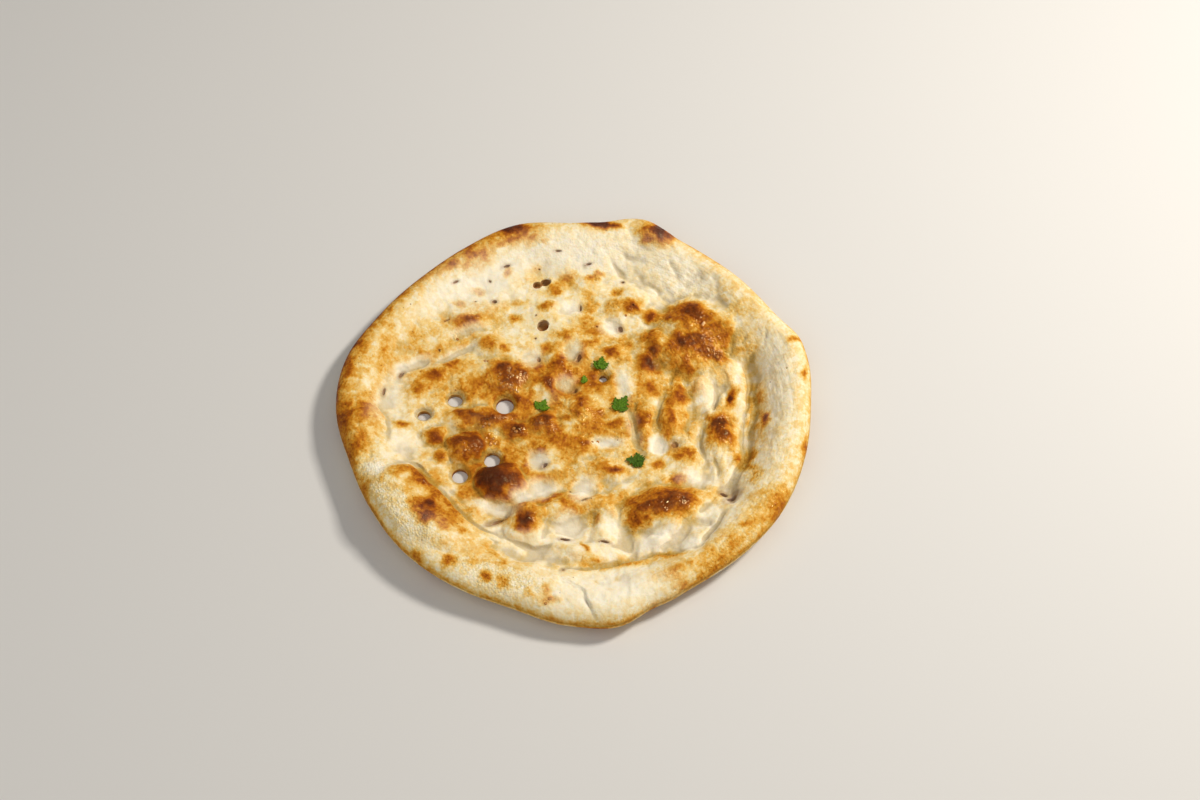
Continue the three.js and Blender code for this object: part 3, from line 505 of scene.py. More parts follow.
# Where butter stands in small beads that catch the light; amount is how thick.
GLAZED = ovals(
    (-38, 23, 7, 8, 0, 1), (-33, 17, 4, 4, 0, 1), (-48, -6, 5, 4, 0, 1), (-45, -15, 4.5, 5, 0, 1),
    (-51, 36, 6, 5, 0, 0.8), (-67, 17, 6, 3, 0, 0.7), (-67, 52, 4, 4, 0, 0.7), (-17, -5, 4.5, 4, 0, 1),
    (-31, -10, 4.5, 3.6, 0, 1), (82, 38, 7, 3, 0, 1), (86, -24, 3.5, 7, 0, 0.3),
    (46, -33, 3, 2.5, 0, 0.3), (61, -67, 6, 3, 0, 0.3), (-16, -76, 6, 4, 0, 0.3),
    (109, -63, 3.5, 3.5, 0, 0.3), (45, 37, 5, 8, 0, 0.6), (72, 54, 14, 10, 0, 0.45),
    (5, 0, 7, 6, 0, 0.5), (10, -14, 9, 5, 0, 0.5), (-59, -24, 7, 5, 0, 0.5), (33, 67, 5, 5, 0, 0.6),
    (-9, 8, 8, 5, 0, 0.4), (20, 75, 10, 8, 0, 0.35), (-57, 63, 6, 4, 0, 0.5), (83, -8, 6, 7, 0, 0.5),
    (-34, -115, 8, 4, 0, 0.5), (-14, -119, 9, 4, 0, 0.5), (52, -60, 12, 6, 0, 0.35),
    (-38, 6, 5, 3, 0, 0.5), (-28, -47, 5, 4, 0, 0.3), (30, -30, 12, 4, 0, 0.4),
)
# Where small bubbles stand close together on the crust; amount is how close.
BUBBLED = ovals(
    (-88, -70, 34, 16, -42, 0.9), (-40, -104, 34, 12, -16, 1), (-108, -42, 14, 22, 20, 0.6),
    (-112, 30, 12, 30, 15, 0.3), (0, 112, 60, 14, 0, 0.25), (84, -90, 26, 12, 40, 0.5),
    (118, -30, 9, 36, -8, 0.25), (60, 88, 26, 14, -40, 0.3),
)

# Scraps of herb: x, y, size across (twice), turn, and how pale they are.
HERBS = ovals(
    (15.5, 34, 7.5, 7.5, 80, 0.45), (5.5, 24, 5.5, 5.5, 110, 0.55), (-17, 7.5, 8, 8, 60, 0.5),
    (26.5, 8, 10, 10, 70, 0.38), (34.5, -28.5, 10, 10, 165, 0.2),
)
# Leaflets of each scrap: how far each turns from the scrap's direction, and its size.
HERB_SPREADS = (
    ((-48, 0.75), (0, 0.95), (50, 0.8)),
    ((-14, 0.9), (40, 0.5)),
    ((-55, 0.7), (4, 0.9), (58, 0.75)),
    ((-60, 0.55), (-8, 1.0), (32, 0.8), (80, 0.45)),
    ((-40, 0.7), (6, 0.95), (48, 0.6)),
)


# ---------------------------------------------------------------- the dough's shape


class Surface(Enum):
    """The two surfaces of the bread."""

    TOP = "top"
    UNDER = "under"


@dataclass
class Dough:
    """The shape of the bread: its outline, its thickness and where its surfaces are."""

    middle_thickness: float = 5.4
    thinnest: float = 2.4
    nose_start: float = 0.93  # share of the radius where the edge starts to round off
    nose_share: float = 0.42  # height of the edge line, as a share of the thickness
    lift_start: float = 0.66  # share of the radius where the underside leaves the table
    hole_rim: float = 3.2  # dough at the edge of a hole
    hole_shoulder: float = 3.0  # reach of the sunken ring round a hole
    fold_width: float = 1.2
    warp: tuple[tuple[float, float, float, float], ...] = ((7, 1.1, 2.7, 1.8), (3.2, 4.2, 0.4, 0.8))
    waves: tuple[tuple[float, float, float], ...] = ((7, 0.6, 1.0), (3.6, 3.1, 0.45))
    broad_wave: tuple[float, float, float] = (13, 1.9, 0.5)
    wavy_inside: tuple[float, float] = (0.72, 0.95)
    stretch_side: float = 8.0  # direction in which the dough was stretched most
    wrinkle_rise: float = 0.8
    wrinkle_size: float = 6.5
    small_wrinkle: float = 3.2
    hair_wrinkle: float = 2.2
    wrinkle_round: float = 40.0  # the larger it is, the shorter the wrinkles are
    wrinkle_grow: tuple[float, float] = (0.3, 0.55)  # shares of the radius where they grow
    wrinkle_fade: tuple[float, float] = (0.68, 0.82)  # and where they fade to a tenth
    pucker_rise: float = 0.34
    pucker_size: float = 4.5
    small_pucker: float = 2.2

    def radius(self, angle: Points) -> Points:
        """Distance from the middle to the edge line.

        Args:
            angle: angles in radians.

        Returns:
            The distance at each angle.
        """
        reach = around(OUTLINE, angle)
        for at, half, out in EDGE_LOBES:
            apart = (angle - math.radians(at) + np.pi) % (2 * np.pi) - np.pi
            reach = reach + out * np.exp(-((apart / math.radians(half)) ** 2))
        return reach

    def polar(self, x: Points, y: Points) -> tuple[Points, Points]:
        """The share of the radius and the angle of places on the plan."""
        angle = np.arctan2(y, x)
        return np.hypot(x, y) / self.radius(angle), angle

    def wrinkles(self, x: Points, y: Points, share: Points, angle: Points) -> Points:
        """Stretch marks that run round the bread, and puckers of the skin.

        Args:
            x: places on the plan.
            y: places on the plan.
            share: their shares of the radius.
            angle: their angles, in radians.

        Returns:
            The rise at each place.
        """
        from_middle = np.hypot(x, y)
        right = 0.5 + 0.5 * np.cos(angle - math.radians(self.stretch_side))
        band = smooth(share, *self.wrinkle_grow) * (1 - 0.9 * smooth(share, *self.wrinkle_fade))
        u, v = self.wrinkle_round * np.cos(angle), self.wrinkle_round * np.sin(angle)
        folds = 0.6 * LUMPS.at(from_middle, u + 200, self.wrinkle_size)
        folds = folds + 0.4 * MOTTLE.at(from_middle + 40, v + 90, self.small_wrinkle)
        fine = RIPPLES.at(1.6 * from_middle, 14 * angle, self.hair_wrinkle)
        puckers = LUMPS.at(x, y, self.pucker_size, 2) + 0.6 * DRIFT.at(x + 30, y, self.small_pucker)
        rise = (0.2 + right**2) * band * self.wrinkle_rise * (folds + 0.14 * fine)
        return rise + self.pucker_rise * puckers * (1 - smooth(share, self.nose_start, 1))

    def thickness(self, x: Points, y: Points, share: Points, angle: Points) -> Points:
        """Thickness of the dough before its edge rounds off.

        Args:
            x: places on the plan.
            y: places on the plan.
            share: their shares of the radius.
            angle: their angles, in radians.

        Returns:
            The thickness at each place.
        """
        inner = 1 - smooth(share, *self.wavy_inside)
        u, v = x, y
        for size, phase, turned, reach in self.warp:
            u = u + reach * wave(x, y, size, phase)
            v = v + reach * wave(x, y, size, turned)
        inward = share - around(RIM_PLACE, angle)
        width = np.where(inward < 0, around(RIM_INNER, angle), RIM_OUTER)
        full = self.middle_thickness + around(RIM_RISE, angle) * np.exp(-((inward / width) ** 2))
        for mound in MOUNDS:
            full = full + mound.swell(u, v)
        for fold in FOLDS:
            gap, side, along = fold.near(u, v)
            step = smooth(side * gap, -self.fold_width, self.fold_width)
            ends = np.sqrt(np.maximum(np.sin(np.pi * along), 0))
            full = full + fold.amount * step * ends * np.exp(-gap / fold.width)
        for size, phase, rise in self.waves:
            full = full + inner * rise * wave(x, y, size, phase)
        size, phase, rise = self.broad_wave
        full = full + rise * wave(x, y, size, phase) + self.wrinkles(x, y, share, angle)
        for valley in VALLEYS:
            full = full - valley.groove(u, v, 5)
        for dent in DENTS:
            full = full - dent.swell(u, v)
        for crease in CREASES:
            full = full - crease.groove(u, v, 3)
        for hole in HOLES:
            near = 1 - smooth(hole.gap(x, y), 0, self.hole_shoulder)
            full = full + (np.minimum(full, self.hole_rim) - full) * near
        return np.maximum(full, self.thinnest)

    def surfaces(self, share: Points, angle: Points) -> dict[str, Points]:
        """Places both surfaces of the bread.

        Args:
            share: shares of the radius, where 1 is the edge line.
            angle: angles in radians.

        Returns:
            x and y on the plan, and the heights of both surfaces under their names.
        """
        reach = share * self.radius(angle)
        x, y = reach * np.cos(angle), reach * np.sin(angle)
        full = self.thickness(x, y, share, angle)
        nose = np.clip((share - self.nose_start) / (1 - self.nose_start), 0, 1)
        rounded = np.sqrt(1 - nose * nose)
        climb = np.clip((share - self.lift_start) / (1 - self.lift_start), 0, 1)
        under = around(EDGE_LIFT, angle) * climb * climb + full * self.nose_share * (1 - rounded)
        top = under + full * rounded
        return {"x": x, "y": y, Surface.UNDER.value: under, Surface.TOP.value: top}

    def top_at(self, x: Points, y: Points) -> Points:
        """Height of the top at places on the plan."""
        share, angle = self.polar(np.asarray(x, float), np.asarray(y, float))
        return self.surfaces(np.minimum(share, 1), angle)[Surface.TOP.value]

    def hollows(self, x: Points, y: Points, reaches: Sequence[tuple[float, float]]) -> list[Points]:
        """How far the top lies below its surroundings.

        Args:
            x: places on the plan.
            y: places on the plan.
            reaches: for each answer, the reach over which the top is first smoothed and the
                reach of the surroundings.

        Returns:
            The depth at each place for each pair of reaches, negative on ridges.
        """
        step, half = 0.6, 140.0
        axis = np.arange(-half, half, step)
        field = np.fft.rfft2(self.top_at(*np.meshgrid(axis, axis, indexing="ij")))
        across, down = np.fft.fftfreq(axis.size, step), np.fft.rfftfreq(axis.size, step)
        pitch = 2 * np.pi**2 * (across[:, None] ** 2 + down[None, :] ** 2)
        i, j = (np.clip((v + half) / step, 0, axis.size - 2) for v in (x, y))
        m, n = i.astype(int), j.astype(int)
        s, t = i - m, j - n
        found = []
        for narrow, wide in reaches:
            kept = np.exp(-pitch * wide**2) - np.exp(-pitch * narrow**2)
            depth = np.fft.irfft2(field * kept, s=(axis.size, axis.size))
            near = depth[m, n] * (1 - s) + depth[m + 1, n] * s
            far = depth[m, n + 1] * (1 - s) + depth[m + 1, n + 1] * s
            found.append(near * (1 - t) + far * t)
        return found


# ---------------------------------------------------------------- the baking


@dataclass
class Baking:
    """How far each place of the crust was baked, floured and buttered."""

    spot_wander: float = 1.7  # how far the edges of the browned spots wander
    spot_lumps: float = 9.0
    fine_wander: float = 0.6
    fine_lumps: float = 2.6
    broad_wander: float = 3.0  # how far the edges of the golden places wander
    broad_lumps: float = 14.0
    patch_lumps: float = 8.0
    least_golden: float = 0.075
    most_golden: float = 0.6
    ragged: float = 0.08  # how much the browned spots break up at their edges
    edge_reach: float = 0.009  # share of the radius that the browned edge line takes
    glow_reach: float = 0.06  # share of the radius that its golden glow takes
    flour_hides: float = 0.93  # share of the browning that flour hides

    def top(self, x: Points, y: Points, share: Points, angle: Points) -> tuple[Points, Points]:
        """Reads the top of the bread.

        Args:
            x: places on the plan.
            y: places on the plan.
            share: their shares of the radius.
            angle: their angles, in radians.

        Returns:
            How far each place is baked and how floury it is, both from 0 to 1.
        """
        u = x + self.spot_wander * LUMPS.at(x, y, self.spot_lumps, 2)
        u = u + self.fine_wander * RIPPLES.at(x, y, self.fine_lumps)
        v = y + self.spot_wander * RIPPLES.at(x, y, self.spot_lumps, 2)
        v = v + self.fine_wander * MOTTLE.at(x, y, self.fine_lumps)
        broad_u = x + self.broad_wander * MOTTLE.at(x, y, self.broad_lumps, 2)
        broad_v = y + self.broad_wander * DRIFT.at(x, y, self.broad_lumps, 2)
        patches = LUMPS.at(x + 50, y, self.patch_lumps, 2) + 0.3 * RIPPLES.at(x, y, 3.6, 2)
        golden = strongest(GOLDEN, broad_u, broad_v, 0.2, 1.35) * (0.92 + patches)
        golden = np.clip(self.least_golden + golden, 0, self.most_golden)
        ragged = self.ragged * MOTTLE.at(x, y, 3.4, 2)
        browned = strongest(BROWNED, u, v, 0.08, 1.5, ragged)
        browned = browned * (1 + 0.2 * DRIFT.at(x, y, self.fine_lumps, 2))
        edge = around(EDGE_BROWN, angle) * np.exp(-(((1 - share) / self.edge_reach) ** 2))
        edge = edge * (1 + 0.4 * DRIFT.at(x, y, 10, 2))
        glow = around(EDGE_GOLD, angle) * np.exp(-(((1 - share) / self.glow_reach) ** 2))
        glow = glow * (1 + LUMPS.at(x, y, 7, 3))
        bare = 1.0
        for layer in (golden, browned, edge, glow):
            bare = bare * (1 - np.clip(layer, 0, 1))
        flour = strongest(FLOURED, u, v, 0.05, 1.4)
        return np.clip((1 - bare) * (1 - self.flour_hides * flour), 0, 1), flour

    def under(self, x: Points, y: Points, share: Points) -> Points:
        """Reads the underside: mottled gold with browned freckles.

        Args:
            x: places on the plan.
            y: places on the plan.
            share: their shares of the radius.

        Returns:
            How far each place is baked, from 0 to 1.
        """
        gold = 0.3 + 0.22 * LUMPS.at(x, y, 16, 3)
        freckles = smooth(RIPPLES.at(x, y, 9, 2), 0.12, 0.5) * 0.5
        char = smooth(DRIFT.at(x + 20, y, 15, 3), 0.2, 0.6) * 0.4
        return np.clip(gold + freckles + char, 0, 0.92) * (1 - 0.35 * smooth(share, 0.8, 1))

    def butter(self, x: Points, y: Points, baked: Points, flour: Points) -> Points:
        """Reads how wet with butter the top is, least where it is floury.

        Args:
            x: places on the plan.
            y: places on the plan.
            baked: how far each place is baked.
            flour: how floury each place is.

        Returns:
            How wet each place is, from 0 to 1.
        """
        wet = strongest(BUTTERED, x + 3 * LUMPS.at(x, y, 8, 2), y, 0.4, 1.2)
        wet = wet * (0.7 + 0.5 * RIPPLES.at(x, y, 6, 2)) + 0.25 * baked
        return np.clip(wet * (1 - 0.7 * flour), 0, 1)


# ---------------------------------------------------------------- meshes


Faces = np.ndarray  # rows of three point numbers


def mesh_object(name: str, points: Points, faces: Faces) -> bpy.types.Object:
    """Makes a smooth-shaded object in the scene.

    Args:
        name: the object's name.
        points: rows of x, y and z in millimetres.
        faces: rows of three point numbers.

    Returns:
        The object, at the origin.
    """
    mesh = bpy.data.meshes.new(name)
    mesh.from_pydata((np.asarray(points) * MM).tolist(), [], np.asarray(faces).tolist())
    mesh.shade_smooth()
    made = bpy.data.objects.new(name, mesh)
    bpy.context.scene.collection.objects.link(made)
    return made


def settled(piece: bpy.types.Object) -> None:
    """Turns a piece's modifiers into a plain mesh and removes them.

    Args:
        piece: the object, whose mesh is replaced.
    """
    bpy.context.view_layer.update()
    evaluated = piece.evaluated_get(bpy.context.evaluated_depsgraph_get())
    mesh = bpy.data.meshes.new_from_object(evaluated)
    piece.modifiers.clear()
    old, piece.data = piece.data, mesh
    bpy.data.meshes.remove(old)


def spun(profile: Sequence[tuple[float, float]], place: Oval, sides: int) -> tuple[Points, Faces]:
    """Spins a profile into a closed solid with an oval section.

    Args:
        profile: radius as a share of the oval's size, and height, from the bottom pole to
            the top pole.
        place: the oval that the solid stands on.
        sides: number of sides.

    Returns:
        The solid's points and faces, pointing outwards.
    """
    turn = 2 * np.pi * np.arange(sides) / sides
    c, s = math.cos(math.radians(place.turn)), math.sin(math.radians(place.turn))
    points = []
    for reach, height in profile[1:-1]:
        along, across = reach * place.long * np.cos(turn), reach * place.wide * np.sin(turn)
        x, y = place.x + along * c - across * s, place.y + along * s + across * c
        points.append(np.stack([x, y, np.full(sides, float(height))], 1))
    bottom, top = (np.array([[place.x, place.y, profile[k][1]]]) for k in (0, -1))
    rings, here = len(points), np.arange(sides)
    beside = (here + 1) % sides
    low, high = rings * sides, rings * sides + 1
    faces = [np.stack([beside, here, np.full(sides, low)], 1)]
    for ring in range(rings - 1):
        a, b, up = ring * sides + here, ring * sides + beside, sides
        faces += [np.stack([a, b, b + up], 1), np.stack([a, b + up, a + up], 1)]
    last = (rings - 1) * sides
    faces.append(np.stack([last + here, last + beside, np.full(sides, high)], 1))
    return np.concatenate([*points, bottom, top]), np.concatenate(faces)


def slab(upper: Points, lower: Points, wide: int) -> tuple[Points, Faces]:
    """Closes two grids of points into a thin solid.

    Args:
        upper: points of the upper surface, row by row.
        lower: points of the lower surface, in the same order.
        wide: how many points a row has.

    Returns:
        The solid's points and faces, pointing outwards.
    """
    below = len(upper)
    count = below // wide
    cell = np.array([r * wide + k for r in range(count - 1) for k in range(wide - 1)])
    quads = np.stack([cell, cell + wide, cell + wide + 1, cell + 1], 1)
    flat = np.concatenate([quads[:, [0, 1, 2]], quads[:, [0, 2, 3]]])
    rim = list(range(wide)) + [r * wide + wide - 1 for r in range(1, count)]
    rim += [(count - 1) * wide + k for k in range(wide - 2, -1, -1)]
    rim += [r * wide for r in range(count - 2, 0, -1)]
    here, there = np.array(rim), np.roll(rim, -1)
    left = np.stack([here, there + below, there], 1)
    right = np.stack([here, here + below, there + below], 1)
    return np.concatenate([upper, lower]), np.concatenate([flat[:, ::-1], flat + below, left, right])


class Skin:
    """Points and faces that grow ring by ring."""

    def __init__(self) -> None:
        """Starts with nothing."""
        self.points: list[Points] = []
        self.faces: list[Faces] = []
        self.count = 0

    def add(self, points: Points) -> Points:
        """Adds points.

        Args:
            points: rows of x, y and z.

        Returns:
            The points' numbers.
        """
        self.points.append(points)
        self.count += len(points)
        return np.arange(self.count - len(points), self.count)

    def join(self, outer: Points, inner: Points, surface: Surface) -> None:
        """Fills the band between two rings, which may differ in number of points.

        Args:
            outer: numbers of the outer ring's points.
            inner: numbers of the inner ring's points, or of one point in the middle.
            surface: which way the faces look.
        """
        starts = [(i / len(outer), 0, i) for i in range(1, len(outer) + 1)]
        starts += [(j / len(inner), 1, j) for j in range(1, len(inner) + 1) if len(inner) > 1]
        i = j = 0
        rows = []
        for _, ring, step in sorted(starts):
            a, b = outer[i % len(outer)], inner[j % len(inner)]
            if ring == 0:
                i = step
                c = outer[i % len(outer)]
            else:
                j = step
                c = inner[j % len(inner)]
            rows.append((a, c, b) if surface is Surface.TOP else (a, b, c))
        self.faces.append(np.array(rows))

    def solid(self) -> tuple[Points, Faces]:
        """All points and all faces."""
        return np.concatenate(self.points), np.concatenate(self.faces)


# ---------------------------------------------------------------- node trees


Entry = Any  # a socket, a Number, or a plain value


class Number:
    """A number that varies over a surface; arithmetic on it adds Math nodes."""

    def __init__(self, tree: "Tree", socket: bpy.types.NodeSocket) -> None:
        """Wraps a socket of a tree."""
        self.tree, self.socket = tree, socket

    def math(self, operation: str, *others: Entry, clamp: bool = False) -> "Number":
        """Adds a Math node on this number and others.

        Args:
            operation: the node's operation.
            others: the other numbers or values.
            clamp: whether the outcome is held between 0 and 1.

        Returns:
            The outcome.
        """
        entries = dict(enumerate((self, *others)))
        settings = {"operation": operation, "use_clamp": clamp}
        return Number(self.tree, self.tree.node("ShaderNodeMath", settings, entries).outputs[0])

    def __add__(self, other: Entry) -> "Number":
        """This plus another."""
        return self.math("ADD", other)

    def __radd__(self, other: Entry) -> "Number":
        """Another plus this."""
        return self.math("ADD", other)

    def __mul__(self, other: Entry) -> "Number":
        """This times another."""
        return self.math("MULTIPLY", other)

    def __rmul__(self, other: Entry) -> "Number":
        """Another times this."""
        return self.math("MULTIPLY", other)

    def __sub__(self, other: Entry) -> "Number":
        """This less another."""
        return self.math("SUBTRACT", other)

    def __rsub__(self, other: Entry) -> "Number":
        """Another less this."""
        return self.math("MULTIPLY", -1.0).math("ADD", other)

    def held(self) -> "Number":
        """This held between 0 and 1."""
        return self.math("ADD", 0.0, clamp=True)

    def climb(self, low: float, high: float) -> "Number":
        """Turns this number into 0 up to low, 1 from high on, and a smooth climb between.

        Args:
            low: where the climb starts.
            high: where it ends.

        Returns:
            The outcome.
        """
        settings = {"interpolation_type": "SMOOTHSTEP"}
        entries = {"Value": self, "From Min": low, "From Max": high}
        made = self.tree.node("ShaderNodeMapRange", settings, entries)
        return Number(self.tree, made.outputs["Result"])


class Tree:
    """A node tree under construction."""

    def __init__(self, nodes: bpy.types.NodeTree) -> None:
        """Empties the tree and starts on it."""
        self.nodes = nodes
        nodes.nodes.clear()

    def node(
        self,
        kind: str,
        settings: dict[str, Any] | None = None,
        entries: dict[str | int, Entry] | None = None,
    ) -> bpy.types.Node:
        """Adds one node.

        Args:
            kind: the node's type.
            settings: its properties. A ramp's stops are given as "stops".
            entries: values or links by socket name, identifier or number.

        Returns:
            The node.
        """
        made = self.nodes.nodes.new(kind)
        for name, value in (settings or {}).items():
            if name == "stops":
                self.set_stops(made.color_ramp, value)
            else:
                setattr(made, name, value)
        for key, entry in (entries or {}).items():
            socket = self.find(made, key)
            if isinstance(entry, Number):
                entry = entry.socket
            if isinstance(entry, bpy.types.NodeSocket):
                self.nodes.links.new(entry, socket)
            else:
                socket.default_value = entry
        return made

    @staticmethod
    def find(node: bpy.types.Node, key: str | int) -> bpy.types.NodeSocket:
        """Finds an input socket.

        Args:
            node: the node.
            key: the socket's number, identifier or name.

        Returns:
            The socket.
        """
        if isinstance(key, int):
            return node.inputs[key]
        exact = [s for s in node.inputs if s.identifier == key and s.enabled]
        return exact[0] if exact else node.inputs[key]

    @staticmethod
    def set_stops(ramp: bpy.types.ColorRamp, stops: Sequence[tuple[float, str]]) -> None:
        """Gives a ramp its stops.

        Args:
            ramp: the ramp.
            stops: a place from 0 to 1 and a colour for each stop.
        """
        while len(ramp.elements) > 1:
            ramp.elements.remove(ramp.elements[-1])
        ramp.elements[0].position, ramp.elements[0].color = stops[0][0], paint(stops[0][1])
        for place, colour in stops[1:]:
            ramp.elements.new(place).color = paint(colour)

    def attribute(self, name: str) -> Number:
        """A number stored on the mesh."""
        made = self.node("ShaderNodeAttribute", {"attribute_name": name})
        return Number(self, made.outputs["Fac"])

    def attribute_vector(self, name: str) -> bpy.types.NodeSocket:
        """A vector stored on the mesh."""
        return self.node("ShaderNodeAttribute", {"attribute_name": name}).outputs["Vector"]

    def place(self) -> bpy.types.NodeSocket:
        """Object coordinates, in metres."""
        return self.node("ShaderNodeTexCoord").outputs["Object"]

    def noise(self, vector: bpy.types.NodeSocket, size: float, detail: float = 2.0) -> Number:
        """Noise about 0, between about -0.5 and 0.5.

        Args:
            vector: where to read it, in metres.
            size: size of the largest lumps, in millimetres.
            detail: how many finer layers it has.

        Returns:
            The noise.
        """
        entries = {"Vector": vector, "Scale": 1 / (size * MM), "Detail": detail}
        made = self.node("ShaderNodeTexNoise", {"noise_dimensions": "3D"}, entries)
        return Number(self, made.outputs[0]) - 0.5

    def cells(self, vector: bpy.types.NodeSocket, size: float) -> Number:
        """Distance to the nearest of scattered points, as a share of their spacing.

        Args:
            vector: where to read it, in metres.
            size: spacing of the points, in millimetres.

        Returns:
            The distance.
        """
        entries = {"Vector": vector, "Scale": 1 / (size * MM)}
        made = self.node("ShaderNodeTexVoronoi", {"feature": "F1"}, entries)
        return Number(self, made.outputs["Distance"])

    def ramp(self, value: Number, stops: Sequence[tuple[float, str]]) -> bpy.types.NodeSocket:
        """A colour that follows a number."""
        return self.node("ShaderNodeValToRGB", {"stops": stops}, {0: value}).outputs["Color"]

    def bump(self, height: Number, strength: float = 1.0) -> bpy.types.NodeSocket:
        """A normal tilted by a height in millimetres."""
        entries = {"Strength": strength, "Distance": MM, "Height": height}
        return self.node("ShaderNodeBump", None, entries).outputs[0]

    def skin(self, entries: dict[str | int, Entry]) -> bpy.types.Node:
        """A general shader with some of its sockets set or linked."""
        return self.node("ShaderNodeBsdfPrincipled", None, entries)

    def mix(self, factor: Entry, under: Entry, over: Entry) -> bpy.types.NodeSocket:
        """Mixes two colours.

        Args:
            factor: how much of the second colour shows.
            under: the first colour.
            over: the second colour.

        Returns:
            The mixed colour's socket.
        """
        settings = {"data_type": "RGBA", "blend_type": "MIX", "clamp_factor": True}
        entries = {"Factor_Float": factor, "A_Color": under, "B_Color": over}
        made = self.node("ShaderNodeMix", settings, entries)
        return next(s for s in made.outputs if s.identifier == "Result_Color")


def paint(code: str) -> tuple[float, float, float, float]:
    """Turns a colour code into Blender's linear values.

    Args:
        code: the colour as a code such as "e6c78f".

    Returns:
        Red, green, blue and full opacity.
    """
    shares = [int(code[k : k + 2], 16) / 255 for k in (0, 2, 4)]
    linear = [s / 12.92 if s <= 0.04045 else ((s + 0.055) / 1.055) ** 2.4 for s in shares]
    return (*linear, 1.0)


def finish_material(name: str, dress: Callable[[Tree], bpy.types.Node]) -> bpy.types.Material:
    """Makes a material from a function that ends in a shader node.

    Args:
        name: the material's name.
        dress: builds the tree and returns the shader.

    Returns:
        The material.
    """
    material = bpy.data.materials.new(name)
    material.use_nodes = True
    tree = Tree(material.node_tree)
    shader = dress(tree)
    tree.node("ShaderNodeOutputMaterial", None, {"Surface": shader.outputs[0]})
    return material


# ---------------------------------------------------------------- finishes


@dataclass(frozen=True)
class Unevenness:
    """Unevenness of the crust, as numbers about 0."""

    coarse: Number
    fine: Number
    streak: Number  # runs round the bread where the dough was stretched
    bubble: Number


